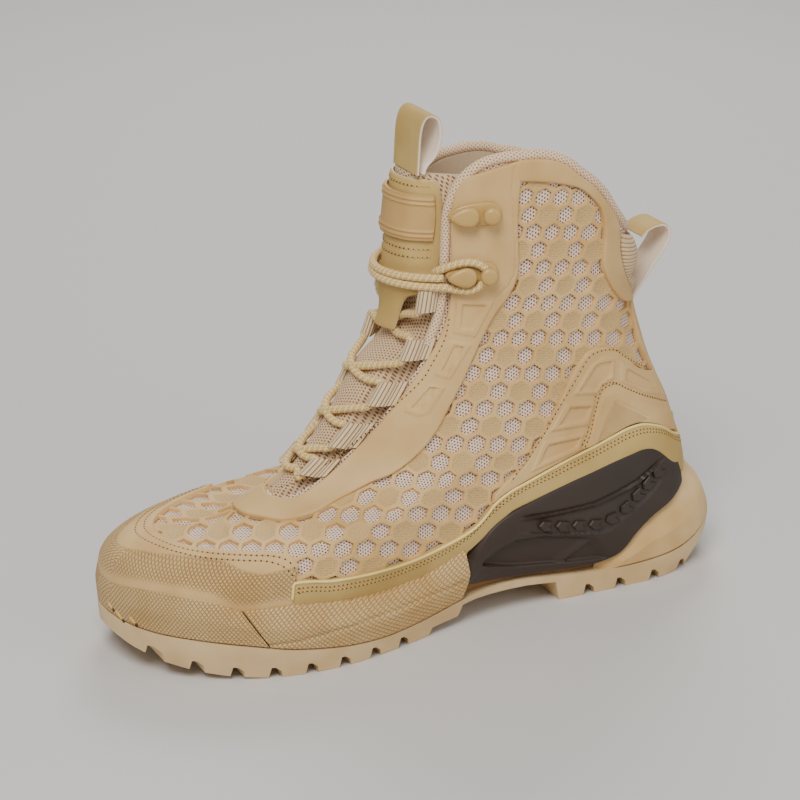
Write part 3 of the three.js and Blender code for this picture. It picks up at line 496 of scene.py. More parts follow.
def shell(name, counts, spot, looks, slot, nodes=(), round_first=False, **more):
    """Closed sheet. spot(s, t), both 0 to 1, gives its outer and inner points and (along, across);
    a second look goes on the inner face and the rim; round_first closes it where s is 0 and 1"""
    bm = bmesh.new()
    bmesh.ops.create_grid(bm, x_segments=counts[0], y_segments=counts[1], size=1)
    if round_first:
        start = {round(v.co.y, 5): v for v in bm.verts if v.co.x < -.99999}
        ends = {v: start[round(v.co.y, 5)] for v in bm.verts if v.co.x > .99999}
        bmesh.ops.weld_verts(bm, targetmap=ends)
    made = bmesh.ops.extrude_face_region(bm, geom=bm.faces[:], use_keep_orig=True)
    outer = {v for v in made["geom"] if isinstance(v, bmesh.types.BMVert)}
    uv = bm.loops.layers.uv.new("UVMap")
    known, share = {}, {}
    for v in bm.verts:
        key = (round(v.co.x, 5), round(v.co.y, 5))
        if key not in known:
            known[key] = spot((v.co.x + 1) / 2, (v.co.y + 1) / 2)
        share[v] = (key, known[key])
    turn_over = max(place[2][0] for place in known.values()) * (1 + 1 / counts[0])
    for v in bm.verts:
        front, back, _ = share[v][1]
        v.co = framed(front if v in outer else back)
    second = isinstance(looks, (list, tuple)) and len(looks) > 1
    for face in bm.faces:
        if second and not all(v in outer for v in face.verts):
            face.material_index = 1
        over = round_first and any(share[v][0][0] > .5 for v in face.verts)
        for loop in face.loops:
            key, place = share[loop.vert]
            a, b = place[2]
            loop[uv].uv = (turn_over if over and key[0] < -.5 else a, b)
    return dressed(bm, name, looks, slot, nodes, **more)


def frames_along(path):
    """Tangent and two normals at each point of a path, without twist"""
    out, side = [], None
    for i, p in enumerate(path):
        t = (path[min(i + 1, len(path) - 1)] - path[max(i - 1, 0)]).normalized()
        if side is None:
            side = Vector((.3, .2, 1)).cross(t)
        side = (side - t * side.dot(t)).normalized()
        out.append((p, t, side, t.cross(side)))
    return out


def add_tube(bm, path, radius, sides=12, squash=1.0, swell=None):
    """Adds a capped tube along a path to a mesh, with its length and turn as UV"""
    uv = bm.loops.layers.uv.get("UVMap") or bm.loops.layers.uv.new("UVMap")
    rows = frames_along(path)
    lengths = [0.0]
    for a, b in zip(path, path[1:]):
        lengths.append(lengths[-1] + (b - a).length)
    count = len(path) - 1
    old = set(bm.verts)
    bmesh.ops.create_grid(bm, x_segments=count, y_segments=sides, size=1)
    new = [v for v in bm.verts if v not in old]
    place = {}
    for v in new:
        i, k = round((v.co.x + 1) / 2 * count), (v.co.y + 1) / 2
        p, _, side, up = rows[i]
        a = 2 * math.pi * k
        r = radius * (swell(lengths[i], k) if swell else 1)
        place[v] = (lengths[i], k)
        v.co = framed(p + side * (r * math.cos(a)) + up * (r * squash * math.sin(a)))
    for face in {f for v in new for f in v.link_faces}:
        for loop in face.loops:
            loop[uv].uv = place[loop.vert]
    bmesh.ops.remove_doubles(bm, verts=new, dist=1e-7)
    new = [v for v in bm.verts if v not in old]
    edges = {e for v in new for e in v.link_edges if e.is_boundary}
    bmesh.ops.holes_fill(bm, edges=list(edges), sides=0)


def smooth_path(points, step=1.6):
    """Even steps along a smooth curve through the points"""
    rows = [list(p) for p in points]
    fine = [Vector(row_at(rows, k / 12)) for k in range(12 * (len(rows) - 1) + 1)]
    lengths = [0.0]
    for a, b in zip(fine, fine[1:]):
        lengths.append(lengths[-1] + (b - a).length)
    count = max(2, round(lengths[-1] / step))
    out, i = [], 0
    for k in range(count + 1):
        want = lengths[-1] * k / count
        while i < len(fine) - 2 and lengths[i + 1] < want:
            i += 1
        f = clamp((want - lengths[i]) / max(lengths[i + 1] - lengths[i], 1e-9))
        out.append(fine[i].lerp(fine[i + 1], f))
    return out


def mirrored(ribs):
    return [[-a, b, -c, d] for a, b, c, d in ribs]


def round_toe(ribs):
    return ribs + [[360 - a, b, 360 - c, d] for a, b, c, d in ribs[-2::-1]]


def round_heel(ribs):
    return ribs + mirrored(ribs[:-1])[::-1]


def dense_at_ends(t):
    """0 to 1 with closer steps toward both ends"""
    return t - .115 * math.sin(2 * math.pi * t)


class Ribs:
    """Panel lying between two edges: turn and ring of both, row by row"""

    def __init__(self, rows, surface=skin):
        self.rows, self.surface = rows, surface
        self.steps = 4 * (len(rows) - 1)
        self.along, self.wide = [0.0], []
        last = None
        for i in range(self.steps + 1):
            ta, la, tb, lb = row_at(rows, i / 4)
            a, b = surface(ta, la), surface(tb, lb)
            middle = surface((ta + tb) / 2, (la + lb) / 2)
            self.wide.append((a - middle).length + (b - middle).length)
            if last is not None:
                self.along.append(self.along[-1] + (middle - last).length)
            last = middle
        self.length = self.along[-1]

    def at(self, s, t):
        """Turn, ring, millimetres along, millimetres across and width, for shares along and across"""
        want = s * self.length
        i = 0
        while i < self.steps - 1 and self.along[i + 1] < want:
            i += 1
        f = (want - self.along[i]) / (self.along[i + 1] - self.along[i])
        ta, la, tb, lb = row_at(self.rows, (i + f) / 4)
        wide = lerp(self.wide[i], self.wide[i + 1], f)
        return lerp(ta, tb, t), lerp(la, lb, t), want, t * wide, wide


def rounded(d, reach, least):
    """Share of the full thickness at a distance from an edge"""
    u = clamp(d / reach)
    return lerp(least, 1, math.sqrt(1 - (1 - u) ** 2))


def panel(name, ribs, looks, slot, nodes, step=.9, lift=HEM_GAP, thick=OVERLAY, edge=1.2, least=.4,
          relief=None, across=None, raise_by=None):
    """Sheet on the last with rounded edges. relief(x, y, along, across, wide) adds a height,
    x and y being where the place, or its mirror image, shows in the photograph"""
    sheet = Ribs(ribs)
    counts = (max(8, round(sheet.length / step)), across or max(6, round(max(sheet.wide) / step)))

    def spot(s, t):
        turn, ring, a, b, wide = sheet.at(s, dense_at_ends(t))
        p, n = SKIN.point(turn, ring), SKIN.normal(turn, ring)
        high = thick * rounded(min(a, b, sheet.length - a, wide - b), edge, least)
        if relief:
            x, y = shown(turn, ring)
            high += relief(x, y, a, b, wide)
        base = lift + (raise_by(turn, ring) if raise_by else 0)
        return p + n * (base + high), p + n * (base - UNDERLAP), (a, b)
    return shell(name, counts, spot, looks, slot, nodes)


WALL_KNOWN = {}


def behind_wall(turn, z):
    """Place on the upper or the midsole behind the sole's wall, at a height"""
    key = (round(turn, 3), round(z, 3))
    if key not in WALL_KNOWN:
        if z <= SKIN.point(turn, 0).z:
            p = skin(turn, 0, .7)
            WALL_KNOWN[key] = Vector((p.x, p.y, z))
        else:
            lo, hi = 0.0, 8.0
            for _ in range(18):
                mid = (lo + hi) / 2
                if SKIN.point(turn, mid).z < z:
                    lo = mid
                else:
                    hi = mid
            WALL_KNOWN[key] = skin(turn, lo, .7)
    return WALL_KNOWN[key]


def wall_turn(y, z):
    fy, _, by = SIDE.row(z / LEVEL)[:3]
    return math.degrees(math.acos(clamp(1 - 2 * (by - y) / (by - fy), -1, 1)))


TREAD_TOP = [(y * LENGTH, z * SOLE) for y, z in [
    (-.5, .326), (-.458, .306), (-.412, .292), (-.34, .25), (-.291, .208), (-.229, .167), (-.16, .136),
    (-.108, .132), (-.049, .153), (.016, .194), (.065, .214), (.124, .217), (.186, .189), (.245, .167),
    (.327, .16), (.412, .208), (.48, .319), (.51, .389)]]


def tread_top(y):
    return value_at(TREAD_TOP, y)


def on_wall(rows):
    return [[wall_turn(ya * LENGTH, (za or .25) * SOLE), za, wall_turn(yb * LENGTH, zb * SOLE), zb]
            for ya, za, yb, zb in rows]


def wall_piece(name, ribs, looks, slot, nodes, counts, top=.3, bottom=1.0, relief=None, swell=0.0):
    """Thick piece from the upper and midsole out to the sole's wall"""
    def levels(s):
        ta, low, tb, zb = row_at(ribs, s * (len(ribs) - 1))
        za = low * SOLE if low > 1e-6 else tread_top(SIDE.point(ta, 1.5).y) + .15
        return ta, za, tb, zb * SOLE
    length = sum((SIDE.point(levels(k / 20)[0], 2) - SIDE.point(levels((k + 1) / 20)[0], 2)).length
                 for k in range(20))

    def spot(s, t):
        ta, za, tb, zb = levels(s)
        b = dense_at_ends(t)
        turn, z = lerp(ta, tb, b), lerp(za, zb, b)
        back = behind_wall(turn, z)
        face = SIDE.at(turn, z / LEVEL)
        full = lerp(top, 1, math.sqrt(clamp((1 - b) * 2.2))) * lerp(bottom, 1, math.sqrt(clamp(b * 3)))
        depth = max((face - back).length, 1.2)
        out = (face - back).normalized()
        tall = zb - za
        high = max(depth * full, 1.1) * rounded(min(b * tall, (1 - b) * tall + .6), 1.0, .6)
        if relief:
            x, y = seen_at(SIDE.point(outer_turn(turn), z / LEVEL))
            high += relief(x, y, b) + swell * math.sin(math.pi * b)
        return back + out * max(high, .9), back, (s * length, b * tall)
    return shell(name, counts, spot, looks, slot, nodes)


class Drawing:
    """Relief drawn as lines in pixels of the photograph"""

    def __init__(self):
        self.items = []

    def add(self, kind, line, *rest):
        xs, ys = [p[0] for p in line], [p[1] for p in line]
        self.items.append((kind, line, (min(xs) - 6, max(xs) + 6, min(ys) - 6, max(ys) + 6), rest))
        return self

    def groove(self, line, wide=.9, deep=.4):
        return self.add("groove", line, wide, deep)

    def frame(self, outer, inner, ridge=.6, sunk=1.0):
        return self.add("frame", outer, inner, ridge, sunk)

    def __call__(self, x, y, *_):
        high = 0.0
        for kind, line, (x0, x1, y0, y1), rest in self.items:
            if not (x0 < x < x1 and y0 < y < y1):
                continue
            if kind == "groove":
                high += groove(to_line(x, y, line), *rest)
            else:
                inner, ridge, sunk = rest
                high += ridge * smooth(-.2, 1.1, depth_in(x, y, line))
                high -= sunk * smooth(-.5, .7, depth_in(x, y, inner))
        return high


# Edges and ribs of the pieces, as in the frame: turn and ring, or shares of the named sizes
OPENING = [[0, 9.82], [18, 9.86], [32, 10.04], [44, 10.33], [54, 10.66], [61, 10.92], [69, 11.16],
           [77, 11.36], [85, 11.57], [95, 11.7], [104, 11.71], [114, 11.7], [124, 11.6], [132.5, 11.33],
           [136, 10.95], [135.5, 10.5], [134, 10], [133, 9.5], [134.8, 8.95], [139, 8.3], [143, 7.6],
           [147, 6.9], [150, 6.48], [157, 6.22], [168, 6.28], [180, 6.36]]
TOE_CAP = [[124, 1.0, 122.8, 2.6], [129, 1.12, 125.3, 3.15], [134, 1.1, 129, 3.46], [138, 1.3, 134, 3.6],
           [141.5, 1.68, 140, 3.73], [146, 1.9, 148, 3.89], [153, 2.05, 158, 4.1], [163, 2.03, 168, 4.28],
           [180, 1.75, 180, 4.38]]
MUDGUARD = [[124.2, 1.02, 123.4, 1.85], [121.9, .85, 121.2, 1.85], [118, .72, 117.5, 1.62],
            [112, .42, 111, 1.42], [106, .3, 105, 1.27], [100, .28, 98, 1.18], [94, .33, 92, 1.27],
            [89, .5, 85.5, 1.51], [85.5, .95, 82, 1.89], [81.5, 1.55, 80, 2.37], [78, 2.03, 77, 2.79],
            [75, 2.38, 73, 3.04], [69, 2.6, 68, 3.31], [61, 2.82, 61.5, 3.58], [53, 3.02, 53, 3.81],
            [45, 3.2, 45, 4.05], [40, 3.27, 40, 4.04], [35, 3.12, 36, 3.85], [29, 2.72, 30, 3.42],
            [22, 2.05, 23, 2.75], [14, 1.45, 15, 2.35], [7, 1.33, 7.5, 2.24], [0, 1.3, 0, 2.2]]
COUNTER = [[79.6, 2.66, 79.3, 2.86], [77, 2.98, 76, 3.6], [73, 3.25, 73, 4.1], [68, 3.52, 72, 5.1],
           [63, 3.72, 70.5, 6.2], [57, 3.92, 68, 7.1], [51, 4.06, 64, 7.57], [45, 4.26, 59, 7.73],
           [41, 4.28, 51, 7.57], [37, 4.14, 42, 7.12], [31, 3.72, 35, 6.5], [25, 3.14, 27, 5.9],
           [13, 2.6, 14.6, 5.3]]
BACK_STAY = [[10.5, 2.42, -10.5, 2.42], [12.5, 4.4, -12.5, 4.4], [17, 5.7, -17, 5.7],
             [23, 6.8, -23, 6.8], [24, 7.6, -24, 7.6], [24, 8.25, -24, 8.25]]
EYESTAY = [[132, 11.5, 104.5, 11.74], [136, 11.2, 104.7, 11.3], [136, 10.7, 104.2, 10.75],
           [134, 10.3, 102.5, 10.3], [132.4, 9.9, 101.2, 9.9], [131.3, 9.5, 104, 9.55],
           [131.8, 9.2, 109.5, 9.22], [133.4, 8.85, 113, 8.7], [136.4, 8.4, 114, 8.15],
           [139.2, 7.95, 114.5, 7.7], [141.6, 7.5, 114, 7.15], [143.6, 7.1, 115, 6.75],
           [145.2, 6.75, 119, 6.33], [147, 6.42, 125, 6.18], [150, 6.17, 130, 5.8], [155, 6.15, 132, 5.35],
           [162, 6.2, 139, 5.25], [171, 6.27, 154, 5.55], [180, 6.34, 180, 5.78]]
COLLAR_OVERLAY = [[106.5, 11.74, 106, 11.4], [95, 11.72, 96, 11.36], [85, 11.6, 84, 11.27],
                  [77, 11.38, 75, 11.14], [69, 11.18, 68.5, 10.96], [62, 10.94, 62.6, 10.74],
                  [54.5, 10.68, 59, 10.5], [47.5, 10.4, 57.3, 10.2], [44, 10.1, 57, 9.85],
                  [43, 9.8, 56.5, 9.6], [38.5, 9.38, 53.5, 9.35], [31.5, 8.93, 47, 8.95],
                  [24, 8.5, 37, 8.5], [18.6, 8.1, 24, 8.2]]
SIDE_FOXING = [[-.312, 0, -.35, .479], [-.275, 0, -.294, .486], [-.222, 0, -.229, .458],
               [-.17, 0, -.17, .431], [-.118, 0, -.118, .424], [-.065, 0, -.059, .431],
               [-.023, 0, -.016, .465], [.012, 0, .024, .528]]
BUMPER = [[-.3145, 0, -.3525, .476], [-.353, 0, -.379, .535], [-.386, 0, -.405, .569],
          [-.422, 0, -.431, .59], [-.454, 0, -.458, .59]]
HEEL_CUP = [[.292, 0, .299, .236], [.307, 0, .324, .306], [.327, 0, .346, .411], [.353, 0, .377, .489],
            [.382, 0, .402, .553]]
CLIP = [[.02, .292, .025, .326], [.039, .278, .038, .41], [.065, .267, .051, .528], [.098, .256, .069, .632],
        [.137, .247, .101, .715], [.176, .236, .147, .778], [.216, .222, .196, .828],
        [.255, .217, .242, .867], [.294, .257, .288, .908], [.322, .375, .327, .931],
        [.353, .479, .359, .925], [.389, .549, .389, .869], [.415, .618, .412, .799]]
NOTCHES = [-.454, -.405, -.353, -.301, -.248, -.196, -.144, -.092, .242, .297, .359, .418]
UNDERSIDE = [(y * LENGTH, z * SOLE) for y, z in [
    (-.523, .306), (-.497, .229), (-.477, .174), (-.444, .111), (-.399, .056), (-.353, .019),
    (-.314, .003), (-.294, 0), (-.042, 0), (-.039, .056), (.01, .069), (.016, .153), (.039, .167),
    (.131, .167), (.18, .147), (.191, 0), (.431, 0), (.461, .042), (.487, .118), (.523, .25)]]
LOOPS = [(139, 9.6), (139.5, 8.82), (144.5, 8.1), (149, 7.38), (152, 6.78)]
HOOKS = {"outer_lower": (122, 10.0), "outer_upper": (124, 10.95),
         "inner_lower": (-122, 10.0), "inner_upper": (-124, 10.72)}
TONGUE_MIDDLE = [(6.1, -.022), (6.7, -.012), (7.4, .006), (8.5, .004), (9.15, -.086), (9.6, -.08),
                 (9.9, -.02), (10.4, -.007), (12, -.007)]
THROAT = [(6.3, 158), (6.6, 149), (7.6, 143), (8.3, 139), (8.9, 135), (9.5, 134), (10, 136), (10.6, 138),
          (11.1, 139), (12, 139)]
TONGUE_PULL = [(-.014, .9455), (-.012, .991), (-.01, 1.027), (-.005, 1.052), (.005, 1.063), (.018, 1.055),
               (.023, 1.034), (.022, 1.007), (.014, .98), (0, .96), (-.004, .9455)]
HEEL_PULL = [(.366, .594), (.373, .609), (.386, .63), (.402, .66), (.418, .688), (.428, .711), (.429, .73),
             (.422, .744), (.408, .747), (.392, .741), (.38, .728)]
BAND_LIFT = HEM_GAP + .25
EYESTAY_LIFT = HEM_GAP + .3
EYESTAY_TOP = EYESTAY_LIFT + OVERLAY
UNDER_THROAT = WALL + FIT + .7
TONGUE_THICK, TAIL, BELLOWS = 6.0, 6.2, 4.8

HEX_PITCH, HEX_RISE, UNDERLAP = 10.2, .8, 1.5
MESH_SUNK = .9

# Lines of the photograph, in its pixels
EYESTAY_FRAMES = [
    ([(456, 298), (493, 299), (474, 336), (452, 332)], [(462, 303.5), (484, 303.5), (472, 328), (460, 327)]),
    ([(449, 339), (471, 343), (449, 379), (433, 374)],
     [(453.5, 344.5), (463, 345.5), (447, 373), (441, 370)]),
    ([(430, 383), (445, 386), (428, 413), (418, 416), (403, 411)],
     [(429, 387), (437, 387), (419, 409), (411, 408)])]
EYESTAY_LINE = [(521, 155), (512.5, 169), (510.5, 187), (512, 220), (514, 254), (513, 273), (506.5, 285),
                (494, 297)]
EYESTAY_STITCH = [(449.5, 313), (444, 339), (433, 361), (424.5, 376), (413, 389), (400, 401), (386, 415),
                  (372, 429), (357, 442), (340, 456), (322, 469), (305, 480), (288, 488), (272, 489),
                  (262, 483), (258, 474)]
COUNTER_FRAMES = [
    ([(570, 394), (588, 364), (599, 356), (611, 357), (611, 377), (600, 383), (595, 393)],
     [(576.5, 389.5), (594, 362.5), (608, 360), (608, 375), (599.5, 381), (594, 389.5)]),
    ([(562.5, 402.5), (593, 400.5), (587, 424), (547, 430.5)],
     [(567, 406.5), (588, 405.5), (583.5, 418.5), (556, 424)]),
    ([(541, 440), (582, 431.5), (578, 449), (528, 471)],
     [(545, 444), (577.5, 437), (574, 446), (536, 463)]),
    ([(617, 360), (622, 363), (650, 380), (662, 398), (640, 393), (617, 381)],
     [(623, 368), (646, 382), (653, 391), (640, 388), (622, 380)])]
COUNTER_STITCH = [(508, 482), (528, 454), (544, 428), (556, 407), (571, 382), (585, 358), (596, 350.5),
                  (611, 349), (621, 356), (635, 364), (647, 371), (659, 384)]
COUNTER_ARCH = [(580, 449), (587, 431), (590.5, 413), (595.5, 394), (602, 385.5), (613, 382.5), (625, 388.5),
                (640, 395), (657, 400.5), (664, 403)]
COUNTER_PANEL = [(588, 452), (612.5, 400), (645, 416), (634, 425)]
CLIP_RIDGE = [(524, 519), (545, 515.5), (561, 512.5), (595.5, 504), (618, 493.5), (638.5, 481.5), (656, 466),
              (666, 455)]
CLIP_CHEVRONS = [(545.5, 526.3, 0), (562.5, 526.3, 0), (579, 525.5, 2), (595.5, 524.5, 6), (612, 519, 22),
                 (626, 508.5, 38), (637.5, 496, 44), (648, 484.5, 50), (658.5, 472.5, 56)]
CLIP_BAND = [(530, 533), (560, 533.5), (597, 533), (612, 529), (622, 520), (640, 505), (655, 490), (667, 472)]
CLIP_HOLLOW = [(484, 567), (486, 562), (501, 549), (518, 540.5), (544, 536), (596, 536), (604, 544),
               (617, 558), (578, 562.5), (520, 567)]
CLIP_FOLD = [(567, 561), (597, 538), (617, 558)]

BUMPER_STITCHES = [((108, 601), (113, 609)), ((116, 610), (123, 620)), ((129, 616), (136, 624))]
FOXING_CREASE = [(244, 650), (300, 642), (352, 627), (400, 610), (452, 588), (464, 582)]

CHEVRON = [(7.2, -4.8), (-2.6, -4.8), (-6.6, 0), (-2.6, 4.8), (7.2, 4.8), (3.4, 0)]

# Hexagons of the side panel: pixel row, pixel column of a hole in it, and pixels between holes
HEX_ROWS = [(567, 383, 22.6), (549, 389, 22.4), (517, 396, 22.5), (483, 404, 21.6), (447, 410, 21.8),
            (411, 421, 21), (375, 431, 20.2), (341, 443, 18.7), (305, 456, 18.3), (269, 470, 18.2),
            (234, 477, 18.5), (198, 489, 17.8), (181, 494, 17.6)]
HEX_STEP = 17.6
HEX_FIELD = [(130, 520), (215, 470), (258, 470), (300, 496), (350, 478), (400, 455), (432, 418), (455, 378),
             (480, 320), (500, 290), (510, 262), (514, 180), (548, 174), (590, 184), (605, 208), (612, 240),
             (612, 275), (632, 305), (642, 350), (655, 392), (600, 352), (575, 372), (520, 462), (505, 500),
             (440, 552), (400, 572), (350, 584), (300, 588), (288, 560), (200, 548), (150, 540)]


EDGE_KNOWN = {}


def opening_at(share, inner):
    """Place on the opening's edge, in even steps from the heel to the toe end; lower at the inner front"""
    if inner not in EDGE_KNOWN:
        table = [[t, r - (.5 * smooth(52, 96, t) * smooth(9.8, 11.2, r) if inner else 0)] for t, r in OPENING]
        places = [row_at(table, i / 8) for i in range(8 * (len(table) - 1) + 1)]
        lengths = [0.0]
        for a, b in zip(places, places[1:]):
            lengths.append(lengths[-1] + (skin(*a) - skin(*b)).length)
        EDGE_KNOWN[inner] = places, lengths
    places, lengths = EDGE_KNOWN[inner]
    want = share * lengths[-1]
    i = 1
    while i < len(places) - 1 and lengths[i] < want:
        i += 1
    f = (want - lengths[i - 1]) / (lengths[i] - lengths[i - 1])
    return lerp(places[i - 1][0], places[i][0], f), lerp(places[i - 1][1], places[i][1], f)


def lowered(ribs):
    def drop(t, r):
        return r - .5 * smooth(52, 96, t) * smooth(9.8, 11.2, r)
    return [[-a, drop(a, b), -c, drop(c, d)] for a, b, c, d in ribs]


def turn_at_x(ring, x):
    lo, hi = 100.0, 180.0
    side = -1 if x < 0 else 1
    for _ in range(20):
        mid = (lo + hi) / 2
        if abs(SKIN.point(side * mid, ring).x) > abs(x):
            lo = mid
        else:
            hi = mid
    return lo if side > 0 else 360 - lo


def tongue_lift(turn, ring):
    t = 360 - turn if turn > 180 else turn
    edge = value_at(THROAT, ring)
    middle = value_at(TONGUE_MIDDLE, ring) * BALL
    return lerp(-UNDER_THROAT, middle, smooth(.1, .6, (t - edge) / (180 - edge)))


# Upper
def build_upper(looks):
    bottom = [0.0]
    for i in range(1, 181):
        bottom.append(bottom[-1] + (skin(i, .5) - skin(i - 1, .5)).length)

    def bottom_turn(share):
        i = 1
        while i < 180 and bottom[i] < share * bottom[180]:
            i += 1
        return i - 1 + (share * bottom[180] - bottom[i - 1]) / (bottom[i] - bottom[i - 1])

    def spot(s, t):
        share = 1 - abs(2 * s - 1)
        inner = s > .5
        turn, ring = opening_at(share, inner)
        at = (-1 if inner else 1) * lerp(bottom_turn(share), turn, t), ring * t
        p, n = SKIN.point(*at), SKIN.normal(*at)
        ring *= t
        sunk = MESH_SUNK * smooth(0, .5, ring) * smooth(0, .12, 1 - t)
        return p - n * sunk, p - n * WALL, (700 * s, 200 * t)
    shell("upper_mesh", (150, 60), spot, [looks["mesh"], looks["lining"]], "upper_mesh", ["upper"],
          round_first=True)


def chart(u, v):
    """Pixel of the photograph at a place on the hexagons' chart: u in holes, v in rows"""
    y = 549 - HEX_STEP * v
    rows = HEX_ROWS
    i = 0
    while i < len(rows) - 2 and y < rows[i + 1][0]:
        i += 1
    f = (y - rows[i][0]) / (rows[i + 1][0] - rows[i][0])
    return lerp(rows[i][1], rows[i + 1][1], f) + u * lerp(rows[i][2], rows[i + 1][2], f), y


class HexChart:
    """Middles of the hexagons as turn and ring, by column k and row v, where the photograph shows them.
    Where the boot turns out of sight the rows are carried on evenly"""

    def __init__(self):
        self.known = {}

    def pixel(self, k, v):
        """Rows lie closer together over the toes, where the boot is seen at a slant"""
        x, y = chart(k + (.5 if v % 2 else 0), v)
        if v > 2:
            n = v - 2
            y = lerp(y, 516.6 - 11.3 * n + .6 * n * n, 1 - smooth(236, 372, x))
        return x, y

    def middle(self, k, v):
        if (k, v) not in self.known:
            near = [self.known[q] for q in ((k - 1, v), (k, v - 1), (k + 1, v - 1), (k + 1, v))
                    if self.known.get(q)]
            place = found(*self.pixel(k, v), *(near[0] if near else (122, 3.2 + .33 * v)))
            fits = place and 5 < place[0] < 174 and -1 < place[1] < 13
            self.known[k, v] = place if fits else None
        return self.known[k, v]

    def carried(self, k, v, left=7):
        """The middle, or where its row leads"""
        own = self.middle(k, v)
        if own or not left:
            return own
        step = 1 if self.pixel(k, v)[0] < 400 else -1
        one, two = self.carried(k + step, v, left - 1), self.carried(k + 2 * step, v, left - 1)
        if not (one and two):
            return None
        place = (2 * one[0] - two[0], 2 * one[1] - two[1] - (.012 * (one[0] - 160) if one[0] > 160 else 0))
        return place if 0 < place[0] < 226 and 0 < place[1] < 13 else None

    def corners(self, k, v):
        """The six corners, each halfway between three middles, clockwise from the top"""
        right = k + 1 if v % 2 else k
        around = [(right, v + 1), (k + 1, v), (right, v - 1), (right - 1, v - 1), (k - 1, v),
                  (right - 1, v + 1)]
        places = [self.carried(*q) for q in around]
        own = self.carried(k, v)
        if own is None or None in places:
            return None
        return [tuple((own[c] + places[j][c] + places[j - 1][c]) / 3 for c in (0, 1)) for j in range(6)]

    def cells(self):
        """Column, row, middle and corners of every hexagon in the field"""
        out = []
        for v in range(-2, 22):
            for k in list(range(-1, 16)) + list(range(-2, -17, -1)):
                if depth_in(*self.pixel(k, v), HEX_FIELD) > -16:
                    out.append((k, v, self.carried(k, v), self.corners(k, v)))
        return [c for c in out if c[2] and c[3]]


def hexagon_sheet(cells):
    """The sheet laid flat: x is turn, y is ten times the ring, with a height and a place on the chart"""
    bm = bmesh.new()
    high = bm.verts.layers.float.new("high")
    where = bm.verts.layers.float_vector.new("where")
    for k, v, middle, corners in cells:
        hole = v % 2 == 0 or (k + v // 2) % 2 == 1
        u = k + (.5 if v % 2 else 0)
        levels = [(1.0, 1.0), (.87, 1.0), (.81, .8)] if hole else [(1.0, 1.0), (.93, 1.02), (.88, .9)]
        rings = []
        for share, lift in levels:
            loop = []
            for j in range(12):
                (at, ar), (bt, br) = corners[j // 2], corners[(j // 2 + 1) % 6]
                ct, cr = ((at + bt) / 2, (ar + br) / 2) if j % 2 else (at, ar)
                part = share * (1 if j % 2 or share > .95 else .985)
                vert = bm.verts.new((lerp(middle[0], ct, part), 10 * lerp(middle[1], cr, part), 0))
                angle = math.radians(30 * j)
                reach = part * (.5 if j % 2 else .577)
                vert[high] = lift * HEX_RISE
                vert[where] = ((u + reach * math.sin(angle)) * HEX_PITCH,
                               (v * .866 + reach * math.cos(angle)) * HEX_PITCH, 0)
                loop.append(vert)
            rings.append(loop)
        for a, b in zip(rings, rings[1:]):
            for j in range(12):
                n = (j + 1) % 12
                bm.faces.new((a[j], a[n], b[n], b[j]))
        if not hole:
            bm.faces.new(rings[-1]).material_index = 1
    bmesh.ops.remove_doubles(bm, verts=bm.verts, dist=.004)
    return bm


def build_hexagons(looks):
    """Moulded sheet of hexagons over the mesh, on both sides: ribs, holes and finely patterned tiles"""
    cells = HexChart().cells()
    for name, side in (("hexagons_outer", 1), ("hexagons_inner", -1)):
        bm = hexagon_sheet(cells)
        bmesh.ops.bisect_plane(bm, geom=bm.verts[:] + bm.edges[:] + bm.faces[:], plane_co=(180, 0, 0),
                               plane_no=(1, 0, 0), clear_outer=True)
        over = [f for f in bm.faces if any(beyond_edge(v.co.x, v.co.y / 10, side < 0) for v in f.verts)]
        bmesh.ops.delete(bm, geom=over, context="FACES")
        made = bmesh.ops.extrude_face_region(bm, geom=bm.faces[:], use_keep_orig=True)
        top = {v for v in made["geom"] if isinstance(v, bmesh.types.BMVert)}
        high, where = bm.verts.layers.float["high"], bm.verts.layers.float_vector["where"]
        uv = bm.loops.layers.uv.new("UVMap")
        for face in bm.faces:
            for loop in face.loops:
                loop[uv].uv = loop.vert[where].xy
        for v in bm.verts:
            lift = v[high] if v in top else -.95
            v.co = framed(skin(side * v.co.x, v.co.y / 10, lift))
        dressed(bm, name, [looks["hex"], looks["tile"]], "tan_overlay", sharp=50)


def collar_edge(turn, inner):
    """Ring that the hexagons stay under near the collar"""
    ring = value_at(OPENING[:13], clamp(turn, 0, 124))
    if inner:
        ring -= .5 * smooth(52, 96, turn) * smooth(9.8, 11.2, ring)
    return ring - .12


def beyond_edge(turn, ring, inner):
    """Whether a place lies over the collar's edge or past the middle of the eyestay, in the throat"""
    turn = min(turn, 360 - turn)
    if turn >= 143.5:
        return ring > value_at([(143.5, 5.7), (150.5, 5.67), (162, 5.85), (180, 5.95)], turn)
    middle = value_at([((b + d) / 2, (a + c) / 2) for a, b, c, d in EYESTAY[:-3]][::-1], ring)
    return ring > collar_edge(turn, inner) or (ring > 5.7 and turn > middle)


def tucked(ribs, by, heel=0.0):
    """Ribs carried on a little behind the sole's side pieces"""
    return [[a, b - by - heel * (1 - smooth(28, 38, a)), c, d] for a, b, c, d in ribs]


